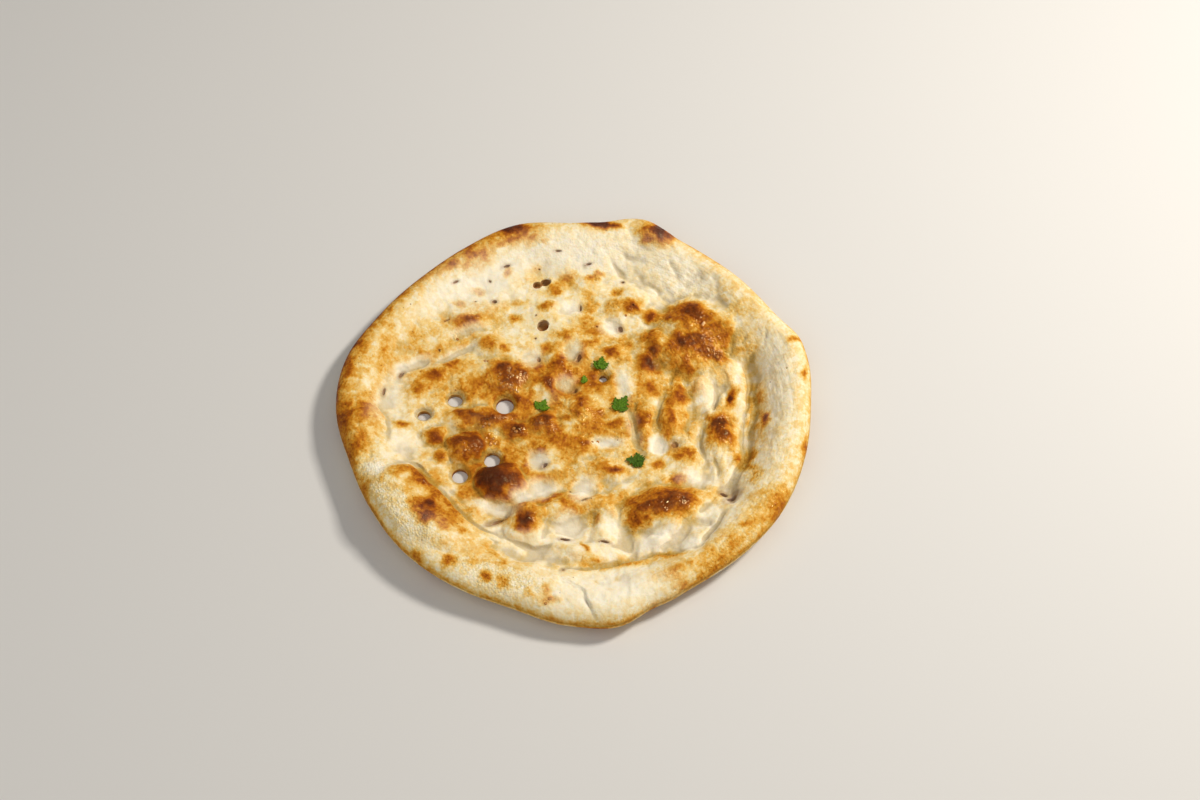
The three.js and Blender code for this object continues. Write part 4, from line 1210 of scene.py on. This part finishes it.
@dataclass(frozen=True)
class BakedDoughFinish:
    """Baked crust: cream where pale, then gold, brown and char, with a buttery shine and painted shade in
    hollows, creases and cuts.
    """

    name: str = "baked_dough"
    stops: tuple[tuple[float, str], ...] = (
        (0.0, "fcf2da"), (0.08, "f8e6ba"), (0.18, "f1cf86"), (0.32, "e5ae4a"),
        (0.47, "d0881c"), (0.64, "b06206"), (0.8, "863e01"), (1.0, "521f02"),
    )
    flour: str = "fef6e2"
    # olive brown of the painted shade in hollows, creases and fine grooves
    hollow_shade: str = "94762c"
    oil: str = "dcc684"
    freckle: str = "8d4708"
    # brown of the painted shade on the walls of cuts and floors of pits, and of the dark specks
    slit: str = "845232"
    coarse_size: float = 3.2
    fine_size: float = 1.5
    patch_size: float = 4.5
    bubble_size: float = 1.3
    freckle_spacing: float = 2.3
    freckle_patch: float = 11.0
    speck_spacing: float = 8.0
    speck_patch: float = 15.0
    film_size: float = 3.4  # unevenness of the film of butter
    ripple_size: float = 3.0  # ripples of the film, which catch the light
    rough: float = 0.66
    wet_rough: float = 0.17
    dry_gloss: float = 0.15
    wet_gloss: float = 0.75
    wet_tint: tuple[float, float, float, float] = (1.0, 0.8, 0.4, 1.0)
    subsurface: float = 0.1
    subsurface_colour: tuple[float, float, float] = (1.0, 0.5, 0.22)
    subsurface_reach: float = 0.0015

    def unevenness(self, tree: Tree) -> Unevenness:
        """Makes the crust's unevenness.

        Args:
            tree: the material's tree.

        Returns:
            Its noises.
        """
        place, grain = tree.place(), tree.attribute_vector("grain")
        return Unevenness(
            coarse=tree.noise(place, self.coarse_size),
            fine=tree.noise(place, self.fine_size, 3.0),
            streak=tree.noise(grain, self.fine_size, 3.0) * tree.attribute("stretched"),
            bubble=0.45 - tree.cells(place, self.bubble_size),
        )

    def baked_colour(self, tree: Tree, uneven: Unevenness) -> bpy.types.NodeSocket:
        """Colours the crust by how far it is baked, with dark freckles where it is golden.

        Args:
            tree: the material's tree.
            uneven: the crust's unevenness.

        Returns:
            The colour.
        """
        place, baked = tree.place(), tree.attribute("baked")
        patch = tree.noise(place, self.patch_size, 3.0).climb(-0.05, 0.07) - 0.5
        spread = uneven.coarse * 0.7 + uneven.fine * 0.9 + uneven.streak * 0.7 + patch * 0.26
        half_done = (baked * (1.0 - baked)) * 1.5 + 0.1
        shade = baked + spread * half_done
        shade = shade - uneven.bubble * tree.attribute("bubbled") * 0.12
        freckles = 1.0 - tree.cells(place, self.freckle_spacing).climb(0.1, 0.26)
        freckles = freckles * tree.noise(place, self.freckle_patch, 1.0).climb(-0.04, 0.12)
        freckles = freckles * baked.climb(0.12, 0.35) * (1.0 - baked.climb(0.55, 0.75))
        return tree.mix(freckles * 0.6, tree.ramp(shade.held(), self.stops), paint(self.freckle))

    def colour(self, tree: Tree, uneven: Unevenness) -> bpy.types.NodeSocket:
        """Adds flour, painted shade in deep places, oil, char specks and painted shade in cuts to the baked
        colour.

        Args:
            tree: the material's tree.
            uneven: the crust's unevenness.

        Returns:
            The colour.
        """
        place, baked, flour = tree.place(), tree.attribute("baked"), tree.attribute("flour")
        colour = self.baked_colour(tree, uneven)
        smears = (uneven.streak * 0.8 + uneven.coarse * 0.6) * (1.0 - baked.climb(0.05, 0.3))
        dust = flour * 0.9 + smears
        colour = tree.mix(dust.held() * 0.85, colour, paint(self.flour))
        # Painted shade: olive brown in hollows, creases and the grooves of the fine relief, weaker where
        # floury.
        deep = tree.attribute("hollow_shade").climb(0.15, 1.3)
        deep = deep + (0.0 - uneven.streak - uneven.fine * 0.6).climb(0.1, 0.5) * 0.09
        colour = tree.mix(deep.held() * (0.6 - flour * 0.32), colour, paint(self.hollow_shade))
        oily = tree.attribute("butter") * (1.0 - baked.climb(0.1, 0.4)) * 0.4
        colour = tree.mix(oily, colour, paint(self.oil))
        # Dark specks of char, and painted shade on the walls of cuts and floors of pits, both in the slit
        # colour.
        specks = 1.0 - tree.cells(place, self.speck_spacing).climb(0.03, 0.07)
        specks = specks * tree.noise(place, self.speck_patch, 1.0).climb(-0.05, 0.1)
        return tree.mix((tree.attribute("cut_shade") + specks * 0.8).held(), colour, paint(self.slit))

    def shine(self, tree: Tree, uneven: Unevenness) -> Number:
        """How much of the crust is under a film of butter.

        Args:
            tree: the material's tree.
            uneven: the crust's unevenness.

        Returns:
            The share, from 0 to 1.
        """
        film = tree.attribute("butter") * 1.2 + tree.attribute("glaze")
        film = film + tree.noise(tree.place(), self.film_size, 1.0) * 1.8 + uneven.coarse * 0.6
        return (film + tree.attribute("baked").climb(0.3, 0.8) * 0.25 - 0.5).held()

    def relief(self, tree: Tree, uneven: Unevenness, shine: Number) -> Number:
        """Height of the fine relief, in millimetres.

        Args:
            tree: the material's tree.
            uneven: the crust's unevenness.
            shine: how much of the crust is under a film of butter, which fills the grain.

        Returns:
            The height.
        """
        grainy = tree.attribute("baked").climb(0.02, 0.4)
        height = uneven.coarse * (grainy * 0.4 + 0.35)
        height = height + uneven.fine * (grainy * 0.6 + 0.12) * (1.0 - shine * 0.75)
        height = height + uneven.streak * 0.4
        height = height + uneven.bubble * (tree.attribute("bubbled") * 0.48 + 0.05)
        ripples = tree.noise(tree.place(), self.ripple_size, 1.0)
        return height + ripples * (shine * 0.8 + tree.attribute("glaze") * 1.1)

    def dress(self, tree: Tree) -> bpy.types.Node:
        """Builds the crust's nodes: a dry shader and a wet one, mixed by the butter.

        Args:
            tree: the material's tree.

        Returns:
            The shader.
        """
        uneven = self.unevenness(tree)
        shine = self.shine(tree, uneven)
        shared = {
            "Base Color": self.colour(tree, uneven),
            "Normal": tree.bump(self.relief(tree, uneven, shine)),
            "Subsurface Weight": self.subsurface,
            "Subsurface Radius": self.subsurface_colour,
            "Subsurface Scale": self.subsurface_reach,
        }
        rough = self.rough + tree.attribute("flour") * 0.1 + uneven.coarse * 0.25
        dry = {"Roughness": rough.held(), "Specular IOR Level": self.dry_gloss}
        wet = {
            "Roughness": (self.wet_rough - tree.attribute("glaze") * 0.05).held(),
            "Specular IOR Level": self.wet_gloss,
            "Specular Tint": self.wet_tint,
        }
        under, over = (tree.skin(shared | own).outputs[0] for own in (dry, wet))
        return tree.node("ShaderNodeMixShader", None, {0: shine * 0.9, 1: under, 2: over})


@dataclass(frozen=True)
class HerbFinish:
    """Chopped leaf: deep green, paler in places, with a slight shine."""

    name: str = "herb_leaf"
    stops: tuple[tuple[float, str], ...] = ((0.0, "2c4202"), (0.5, "5a8008"), (1.0, "a6ba34"))
    rough: float = 0.5

    def dress(self, tree: Tree) -> bpy.types.Node:
        """Builds the leaf's nodes.

        Args:
            tree: the material's tree.

        Returns:
            The shader.
        """
        place = tree.place()
        tone = tree.attribute("tone") + tree.noise(place, 1.1, 3.0) * 0.9
        colour = tree.ramp(tone.held(), self.stops)
        entries = {
            "Base Color": colour,
            "Roughness": (self.rough + tree.noise(place, 2.0) * 0.3).held(),
            "Specular IOR Level": 0.2,
            "Normal": tree.bump(tree.noise(place, 0.6), 0.6),
            "Subsurface Weight": 0.15,
            "Subsurface Radius": (0.6, 1.0, 0.1),
            "Subsurface Scale": 0.001,
        }
        return tree.skin(entries)


@dataclass(frozen=True)
class ButterFinish:
    """Melted butter: clear drops in the browns of the crust under them, with a sharp shine."""

    name: str = "melted_butter"
    stops: tuple[tuple[float, str], ...] = ((0.0, "9c5818"), (1.0, "cc8c3a"))
    rough: float = 0.06

    def dress(self, tree: Tree) -> bpy.types.Node:
        """Builds the butter's nodes.

        Args:
            tree: the material's tree.

        Returns:
            The shader.
        """
        place = tree.place()
        tone = tree.noise(place, 3.0, 2.0) * 1.6 + 0.6
        entries = {
            "Base Color": tree.ramp(tone.held(), self.stops),
            "Roughness": (self.rough + tree.noise(place, 1.0) * 0.1).held(),
            "Coat Weight": 0.6,
            "Coat Roughness": 0.05,
            "Subsurface Weight": 0.15,
            "Subsurface Radius": (1.0, 0.6, 0.3),
            "Subsurface Scale": 0.001,
        }
        return tree.skin(entries)


@dataclass(frozen=True)
class FloorFinish:
    """A plain pale matt floor."""

    name: str = "pale_floor"
    colour: str = "dcd9d4"

    def dress(self, tree: Tree) -> bpy.types.Node:
        """Builds the floor's nodes.

        Args:
            tree: the material's tree.

        Returns:
            The shader.
        """
        entries = {"Base Color": paint(self.colour), "Roughness": 0.9}
        return tree.skin(entries)


# ---------------------------------------------------------------- the bread


@dataclass
class NaanDough:
    """The bread itself, with its prick holes and slits."""

    dough: Dough
    baking: Baking
    rings: int = 158  # rings of points on the top, out to where the edge rounds off
    under_rings: int = 50
    nose_steps: int = 8
    under_nose_steps: int = 5
    hole_lip: float = 0.7  # rounding where a hole meets the top
    hole_sides: int = 28
    slit_sides: int = 14
    cut_above: float = 6.0
    cut_below: float = 1.0
    fine_hollow: tuple[float, float] = (0.5, 1.6)  # reaches of small hollows and around them
    fine_deep: float = 0.5  # depth at which a small hollow is a full one
    broad_hollow: tuple[float, float] = (1.2, 5.0)
    broad_deep: float = 2.2
    wall_start: tuple[float, float] = (0.15, 0.8)  # depths where the wall of a cut begins
    hole_wall_shade: float = 0.3  # colour of the walls of the prick holes, on the baking ramp: painted shade
    hole_reach: float = 1.5  # how far outside a hole its wall may lie
    blind_reach: float = 1.4  # share of its size within which a slit or pit gets the darker painted shade
    halo_reach: tuple[float, float] = (0.9, 2.4)  # shares where the dark ring of a slit fades
    grain_round: float = 22.0  # the larger it is, the shorter the streaks are

    def ring(self, skin: Skin, share: float, count: int, surface: Surface) -> Points:
        """Adds points round the bread.

        Args:
            skin: the skin to add to.
            share: share of the radius.
            count: how many points.
            surface: which surface they lie on.

        Returns:
            The points' numbers.
        """
        angle = 2 * np.pi * np.arange(count) / count
        spots = self.dough.surfaces(np.full(count, share), angle)
        return skin.add(np.stack([spots["x"], spots["y"], spots[surface.value]], 1))

    def cover(self, skin: Skin, edge: Points, surface: Surface, rings: int, nose: int) -> None:
        """Covers one surface, from the edge line in to the middle.

        Args:
            skin: the skin to add to.
            edge: numbers of the edge line's points.
            surface: which surface.
            rings: rings inside the rounded edge.
            nose: rings on the rounded edge.
        """
        start = self.dough.nose_start
        outer = edge
        for step in range(nose - 1, 0, -1):
            share = start + (1 - start) * math.sin(0.5 * math.pi * step / nose)
            inner = self.ring(skin, share, len(edge), surface)
            skin.join(outer, inner, surface)
            outer = inner
        for k in range(rings, 0, -1):
            inner = self.ring(skin, start * k / rings, 6 * k, surface)
            skin.join(outer, inner, surface)
            outer = inner
        middle = self.dough.surfaces(np.zeros(1), np.zeros(1))[surface.value][0]
        skin.join(outer, skin.add(np.array([[0.0, 0.0, middle]])), surface)

    def hole_tool(self, hole: Oval, foot: float) -> tuple[Points, Faces]:
        """Makes the solid that cuts a hole: a shaft that flares at the top.

        Args:
            hole: the hole's oval.
            foot: height of the shaft's lower end.

        Returns:
            The solid's points and faces.
        """
        mouth = float(self.dough.top_at(np.array([hole.x]), np.array([hole.y]))[0])
        profile = [(0.0, foot), (1.0, foot)]
        for lean in np.radians([90, 70, 50, 30, 12]):
            out = 1 + self.hole_lip / hole.wide * (1 - math.sin(lean))
            profile.append((out, mouth - self.hole_lip * (1 - math.cos(lean))))
        widest = profile[-1][0] + 0.02
        profile += [(widest, mouth + self.cut_above), (0.0, mouth + self.cut_above)]
        return spun(profile, hole, self.hole_sides)

    def slit_tool(self, slit: Oval) -> tuple[Points, Faces]:
        """Makes the solid that cuts a slit: an egg sunk to the slit's depth.

        Args:
            slit: the slit's oval, whose amount is its depth.

        Returns:
            The solid's points and faces.
        """
        mouth = float(self.dough.top_at(np.array([slit.x]), np.array([slit.y]))[0])
        lean = np.radians(np.linspace(-90, 90, 9))
        profile = [(math.cos(a), mouth + slit.amount * math.sin(a)) for a in lean]
        return spun(profile, slit, self.slit_sides)

    def carve(self, bread: bpy.types.Object, tools: list[tuple[Points, Faces]]) -> None:
        """Cuts solids that stand clear of each other out of the bread.

        Args:
            bread: the bread's object.
            tools: points and faces of each cutting solid.
        """
        skin = Skin()
        for points, faces in tools:
            skin.faces.append(faces + skin.add(points)[0])
        cutter = mesh_object("cutter", *skin.solid())
        modifier = bread.modifiers.new("carve", "BOOLEAN")
        modifier.operation, modifier.solver, modifier.object = "DIFFERENCE", "MANIFOLD", cutter
        settled(bread)
        bpy.data.objects.remove(cutter)

    def upper(self, z: Points, share: Points, spots: dict[str, Points]) -> Points:
        """Tells the top from the underside.

        Args:
            z: heights of points of the mesh.
            share: their shares of the radius.
            spots: heights of both surfaces there.

        Returns:
            1 on the top, 0 on the underside and a climb between.
        """
        under, top = spots[Surface.UNDER.value], spots[Surface.TOP.value]
        inside = smooth((z - under) / np.maximum(top - under, 0.5), 0.1, 0.6)
        return np.where(share > self.dough.nose_start, smooth(z - under, 0, 1.5), inside)

    def sunken(self, x: Points, y: Points) -> Points:
        """How deep the top lies, from -1 on ridges to 1 in full hollows."""
        fine, broad = self.dough.hollows(x, y, (self.fine_hollow, self.broad_hollow))
        return np.clip(fine / self.fine_deep + broad / self.broad_deep, -1, 1)

    def cut_shade(self, x: Points, y: Points, wall: Points, upper: Points) -> Points:
        """Tells where the dark of cuts shows: painted shade on their walls and pit floors, and a faint ring
        round slits.

        Args:
            x: places on the plan.
            y: places on the plan.
            wall: 1 on the walls of cuts, 0 elsewhere.
            upper: 1 on the top, 0 on the underside.

        Returns:
            How dark each place is, from 0 to 1.
        """
        blind = np.max([slit.share(x, y) < self.blind_reach for slit in SLITS + PITS], 0)
        halo = strongest(SLITS, x, y, *self.halo_reach) * upper * 0.3
        return np.maximum(wall * np.where(blind, 0.8, 0.55), np.minimum(halo, 0.4))

    def write(self, mesh: bpy.types.Mesh) -> None:
        """Stores how each point is baked, floured and buttered, and where painted shade darkens hollows,
        creases and cuts.

        Args:
            mesh: the bread's mesh.
        """
        flat = np.empty(3 * len(mesh.vertices))
        mesh.vertices.foreach_get("co", flat)
        x, y, z = (flat.reshape(-1, 3) / MM).T
        share, angle = self.dough.polar(x, y)
        spots = self.dough.surfaces(np.minimum(share, 1), angle)
        upper, hollow_shade = self.upper(z, share, spots), self.sunken(x, y)
        deep = spots[Surface.TOP.value] - z
        wall = smooth(deep, *self.wall_start) * (share < self.dough.nose_start)
        baked, flour = self.baking.top(x, y, share, angle)
        # Ridges brown more than hollows; the same depth also sets the painted shade stored below.
        baked = np.clip(baked * (1 - 0.16 * hollow_shade) - 0.03 * hollow_shade, 0, 1)
        butter = self.baking.butter(x, y, baked, flour)
        baked = upper * baked + (1 - upper) * self.baking.under(x, y, share)
        # The walls of the prick holes take a set colour from the baking ramp, as painted shade.
        holed = np.max([hole.gap(x, y) < self.hole_reach for hole in HOLES], 0)
        baked = np.where(holed & (deep > 0.3) & (z > 0.2), self.hole_wall_shade, baked)
        # Painted shade along the creases, added to the depth of the hollows.
        crease_shade = 0.5 * np.max([crease.groove(x, y, 3) for crease in CREASES], 0)
        right = np.cos(angle - math.radians(self.dough.stretch_side))
        stretched = smooth(right, -0.2, 0.7) * smooth(share, 0.2, 0.5)
        stored = {
            "baked": baked,
            "flour": flour * upper,
            "hollow_shade": (hollow_shade + crease_shade) * upper * (1 - wall),
            "stretched": 0.25 + 0.75 * stretched,
            "butter": butter * upper * (1 - wall),
            "glaze": strongest(GLAZED, x, y, 0.3, 1.3) * upper * (1 - wall),
            "cut_shade": self.cut_shade(x, y, wall, upper),
            "bubbled": strongest(BUBBLED, x, y, 0.3, 1.2) * upper * (1 - wall),
        }
        for name, values in stored.items():
            self.store(mesh, name, values)
        u, v = self.grain_round * np.cos(angle), self.grain_round * np.sin(angle)
        grain = np.stack([np.hypot(x, y), u, v], 1) * MM
        mesh.attributes.new("grain", "FLOAT_VECTOR", "POINT").data.foreach_set("vector", grain.ravel())

    @staticmethod
    def store(mesh: bpy.types.Mesh, name: str, values: Points) -> None:
        """Stores a number for each point of a mesh."""
        mesh.attributes.new(name, "FLOAT", "POINT").data.foreach_set("value", values.ravel())

    def build(self, material: bpy.types.Material) -> bpy.types.Object:
        """Builds the bread.

        Args:
            material: its finish.

        Returns:
            The bread's object.
        """
        skin = Skin()
        edge = self.ring(skin, 1.0, 6 * self.rings, Surface.TOP)
        self.cover(skin, edge, Surface.TOP, self.rings, self.nose_steps)
        self.cover(skin, edge, Surface.UNDER, self.under_rings, self.under_nose_steps)
        bread = mesh_object("naan_crust", *skin.solid())
        self.carve(bread, [self.hole_tool(hole, -self.cut_below) for hole in HOLES])
        for pits in (PITS[::2], PITS[1::2]):  # in two goes, because neighbouring pits overlap
            self.carve(bread, [self.hole_tool(pit, pit.amount) for pit in pits])
        self.carve(bread, [self.slit_tool(slit) for slit in SLITS])
        self.write(bread.data)
        bread.data.materials.clear()
        bread.data.materials.append(material)
        return bread


@dataclass
class HerbScraps:
    """Scraps of chopped herb: small toothed leaflets in twos and threes, laid on the bread."""

    dough: Dough
    thickness: float = 0.45
    lift: float = 0.2  # gap under a leaflet that lies flat
    half_width: float = 0.42  # of a leaflet, as a share of its length
    least_half: float = 0.06
    teeth: int = 5
    tooth: float = 0.26  # depth of the teeth, as a share of the half width
    curl: float = 1.1
    stalk: float = 0.42  # how far back from the middle the leaflets start, as a share of the scrap
    across: tuple[float, ...] = (-1.0, -0.5, 0.0, 0.5, 1.0)  # points across a leaflet

    def leaflet(self, x: float, y: float, size: float, turn: float, seed: int) -> tuple[Points, Faces]:
        """One toothed leaflet, from its stalk end outwards.

        Args:
            x: place of the stalk end.
            y: place of the stalk end.
            size: length of the leaflet.
            turn: direction it points in.
            seed: makes it unlike the others.

        Returns:
            Its points and faces.
        """
        draw = np.random.default_rng(seed)
        stations = np.linspace(0, 1, 4 * self.teeth + 1)
        half = self.half_width * size * np.sin(np.pi * stations**0.75) ** 0.8
        teeth = np.cos(2 * np.pi * self.teeth * stations + draw.uniform(0, 2))
        half = half * (1 - self.tooth + self.tooth * teeth)
        half = np.maximum(half * draw.uniform(0.85, 1.1, stations.size), self.least_half * size)
        c, s = math.cos(math.radians(turn)), math.sin(math.radians(turn))
        rows, lift = [], draw.uniform(0.3, 1.0)
        for share, reach in zip(stations, half):
            for across in self.across:
                along, out = share * size, across * reach
                px, py = x + along * c - out * s, y + along * s + out * c
                rise = self.curl * (0.28 * share**2 * lift + 0.3 * abs(across) ** 1.5 * lift)
                rise += 0.14 * math.sin(9 * share + 3 * across + seed)
                rows.append((px, py, rise))
        flat = np.array(rows)
        base = self.dough.top_at(flat[:, 0], flat[:, 1]) + self.lift
        base = 0.5 * base + 0.5 * base.max()
        upper = np.column_stack([flat[:, :2], base + flat[:, 2] + self.thickness])
        lower = np.column_stack([flat[:, :2], base + flat[:, 2]])
        return slab(upper, lower, len(self.across))

    def build(self, material: bpy.types.Material) -> bpy.types.Object:
        """Builds all the scraps.

        Args:
            material: their finish.

        Returns:
            The scraps' object.
        """
        skin, tones = Skin(), []
        for number, (herb, spreads) in enumerate(zip(HERBS, HERB_SPREADS)):
            turn, back = math.radians(herb.turn), self.stalk * herb.long
            x, y = herb.x - back * math.cos(turn), herb.y - back * math.sin(turn)
            for k, (spread, share) in enumerate(spreads):
                size, seed = herb.long * share, 10 * number + k
                points, faces = self.leaflet(x, y, size, herb.turn + spread, seed)
                skin.faces.append(faces + skin.add(points)[0])
                tones.append(np.full(len(points), herb.amount))
        scraps = mesh_object("herb_scraps", *skin.solid())
        NaanDough.store(scraps.data, "tone", np.concatenate(tones))
        scraps.data.materials.append(material)
        return scraps


@dataclass
class Scatter:
    """Small domes scattered over the crust where a stored number asks for them."""

    name: str
    mask: str  # the stored number
    per_square_mm: float
    smallest: float
    largest: float
    flatness: float  # height as a share of width
    seed: int
    floor: float = 0.35  # value of the stored number below which nothing is scattered

    def tree(self) -> tuple[bpy.types.NodeTree, dict[str, str]]:
        """Builds the scattering tree.

        Returns:
            The tree, and the identifier of each named input.
        """
        nodes = bpy.data.node_groups.new(self.name, "GeometryNodeTree")
        kinds = {
            "Crust": "NodeSocketObject",
            "Per square metre": "NodeSocketFloat",
            "Smallest": "NodeSocketFloat",
            "Largest": "NodeSocketFloat",
            "Flatness": "NodeSocketFloat",
            "Seed": "NodeSocketInt",
            "Finish": "NodeSocketMaterial",
        }
        sockets = nodes.interface
        names = {
            name: sockets.new_socket(name, in_out="INPUT", socket_type=kind).identifier
            for name, kind in kinds.items()
        }
        sockets.new_socket("Domes", in_out="OUTPUT", socket_type="NodeSocketGeometry")
        tree = Tree(nodes)
        given = tree.node("NodeGroupInput").outputs
        crust = tree.node("GeometryNodeObjectInfo", None, {"Object": given["Crust"]})
        stored = tree.node("GeometryNodeInputNamedAttribute", {"data_type": "FLOAT"}, {"Name": self.mask})
        wanted = Number(tree, stored.outputs["Attribute"]).climb(self.floor, 0.95)
        points = tree.node(
            "GeometryNodeDistributePointsOnFaces",
            {"distribute_method": "RANDOM"},
            {
                "Mesh": crust.outputs["Geometry"],
                "Density": wanted * given["Per square metre"],
                "Seed": given["Seed"],
            },
        )
        draw = {"Min_001": given["Smallest"], "Max_001": given["Largest"], "Seed": given["Seed"]}
        size = Number(tree, tree.node("FunctionNodeRandomValue", {"data_type": "FLOAT"}, draw).outputs[1])
        tall = size * given["Flatness"]
        scale = tree.node("ShaderNodeCombineXYZ", None, {"X": size, "Y": size, "Z": tall})
        dome = tree.node("GeometryNodeMeshUVSphere", None, {"Segments": 8, "Rings": 5, "Radius": 0.5})
        soft = tree.node("GeometryNodeSetShadeSmooth", None, {"Geometry": dome.outputs["Mesh"]})
        placed = tree.node(
            "GeometryNodeInstanceOnPoints",
            None,
            {
                "Points": points.outputs["Points"],
                "Instance": soft.outputs[0],
                "Rotation": points.outputs["Rotation"],
                "Scale": scale.outputs[0],
            },
        )
        real = tree.node("GeometryNodeRealizeInstances", None, {"Geometry": placed.outputs[0]})
        dressed = tree.node(
            "GeometryNodeSetMaterial", None, {"Geometry": real.outputs[0], "Material": given["Finish"]}
        )
        tree.node("NodeGroupOutput", None, {"Domes": dressed.outputs[0]})
        return nodes, names

    def build(self, crust: bpy.types.Object, material: bpy.types.Material) -> bpy.types.Object:
        """Scatters the domes.

        Args:
            crust: the bread they lie on.
            material: their finish.

        Returns:
            The domes' object.
        """
        made = mesh_object(self.name, np.zeros((0, 3)), np.zeros((0, 3), int))
        modifier = made.modifiers.new("scatter", "NODES")
        modifier.node_group, names = self.tree()
        given = {
            "Crust": crust,
            "Per square metre": self.per_square_mm / MM**2,
            "Smallest": self.smallest * MM,
            "Largest": self.largest * MM,
            "Flatness": self.flatness,
            "Seed": self.seed,
            "Finish": material,
        }
        for name, value in given.items():
            modifier[names[name]] = value
        settled(made)
        return made


CRUST_BUBBLES = Scatter(
    name="crust_bubbles", mask="bubbled", per_square_mm=0.2, smallest=0.6, largest=1.3, flatness=0.3, seed=5
)
BUTTER_BEADS = Scatter(
    name="butter_beads", mask="glaze", per_square_mm=0.14, smallest=0.8, largest=2.2, flatness=0.25, seed=9
)


# ---------------------------------------------------------------- the studio


@dataclass(frozen=True)
class Lamp:
    """A square soft light that shines at the bread.

    Its azimuth leads from +X towards +Y, and its height is above the horizon.
    """

    name: str
    power: float
    size: float
    azimuth: float
    height: float
    distance: float
    colour: str

    def hang(self) -> None:
        """Puts the light in the scene."""
        up, out = math.radians(self.height), math.radians(self.azimuth)
        away = Vector((math.cos(up) * math.cos(out), math.cos(up) * math.sin(out), math.sin(up)))
        light = bpy.data.lights.new(self.name, "AREA")
        light.shape, light.size = "SQUARE", self.size * MM
        light.energy, light.color = self.power, paint(self.colour)[:3]
        made = bpy.data.objects.new(self.name, light)
        made.location = away * self.distance * MM
        made.rotation_euler = (-away).to_track_quat("-Z", "Y").to_euler()
        bpy.context.scene.collection.objects.link(made)


@dataclass
class Studio:
    """A pale floor, soft light from the right and a camera that looks down at the bread."""

    aim: tuple[float, float, float] = (14.8, 8.7, 8.0)
    tilt: float = 58.5  # how far the camera looks down
    distance: float = 1116.0
    lens: float = 60.0
    sensor: float = 36.0
    floor_size: float = 6000.0
    nearest: float = 10.0  # the camera sees nothing closer
    farthest: float = 20000.0
    sky: float = 0.22
    sky_colour: str = "fdfcfa"
    lamps: tuple[Lamp, ...] = (
        Lamp("key", 13.8, 210, azimuth=22, height=46, distance=1300, colour="fffaf2"),
        Lamp("fill", 8, 2000, azimuth=240, height=58, distance=1500, colour="ffffff"),
    )

    def floor(self, material: bpy.types.Material) -> None:
        """Lays the floor.

        Args:
            material: its finish.
        """
        half = self.floor_size / 2
        corners = np.array([(-half, -half, 0), (half, -half, 0), (half, half, 0), (-half, half, 0)], float)
        made = mesh_object("floor", corners, np.array([(0, 1, 2), (0, 2, 3)]))
        made.data.materials.append(material)

    def lights(self) -> None:
        """Hangs the lamps and lights the sky."""
        for lamp in self.lamps:
            lamp.hang()
        world = bpy.data.worlds.new("sky")
        world.use_nodes = True
        tree = Tree(world.node_tree)
        sky = {"Color": paint(self.sky_colour), "Strength": self.sky}
        shader = tree.node("ShaderNodeBackground", None, sky)
        tree.node("ShaderNodeOutputWorld", None, {"Surface": shader.outputs[0]})
        bpy.context.scene.world = world

    def camera(self) -> None:
        """Sets the camera up."""
        down = math.radians(self.tilt)
        back = Vector((0, -math.cos(down), math.sin(down)))
        data = bpy.data.cameras.new("camera")
        data.lens, data.sensor_width = self.lens, self.sensor
        data.clip_start, data.clip_end = self.nearest * MM, self.farthest * MM
        made = bpy.data.objects.new("camera", data)
        made.location = (Vector(self.aim) + back * self.distance) * MM
        made.rotation_euler = (-back).to_track_quat("-Z", "Y").to_euler()
        bpy.context.scene.collection.objects.link(made)
        bpy.context.scene.camera = made

    def build(self, material: bpy.types.Material) -> None:
        """Builds the studio.

        Args:
            material: the floor's finish.
        """
        self.floor(material)
        self.lights()
        self.camera()
        bpy.context.scene.view_settings.view_transform = "Standard"


# ---------------------------------------------------------------- putting it together


def report(piece: bpy.types.Object) -> None:
    """Logs a finished piece."""
    log.info("%s: %d points, %d faces", piece.name, len(piece.data.vertices), len(piece.data.polygons))


def main() -> None:
    """Builds the bread, what lies on it and the studio."""
    logging.basicConfig(level=logging.INFO, format="%(name)s %(message)s")
    finishes = (BakedDoughFinish(), HerbFinish(), ButterFinish(), FloorFinish())
    crust_finish, herb_finish, butter_finish, floor_finish = (
        finish_material(finish.name, finish.dress) for finish in finishes
    )
    dough = Dough()
    bread = NaanDough(dough, Baking()).build(crust_finish)
    report(bread)
    herbs = HerbScraps(dough).build(herb_finish)
    report(herbs)
    bubbles = CRUST_BUBBLES.build(bread, crust_finish)
    report(bubbles)
    beads = BUTTER_BEADS.build(bread, butter_finish)
    report(beads)
    for piece in (bread, herbs, bubbles, beads):
        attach(piece, BODY)
    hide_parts(NODE)
    Studio().build(floor_finish)


if __name__ == "__main__":
    main()
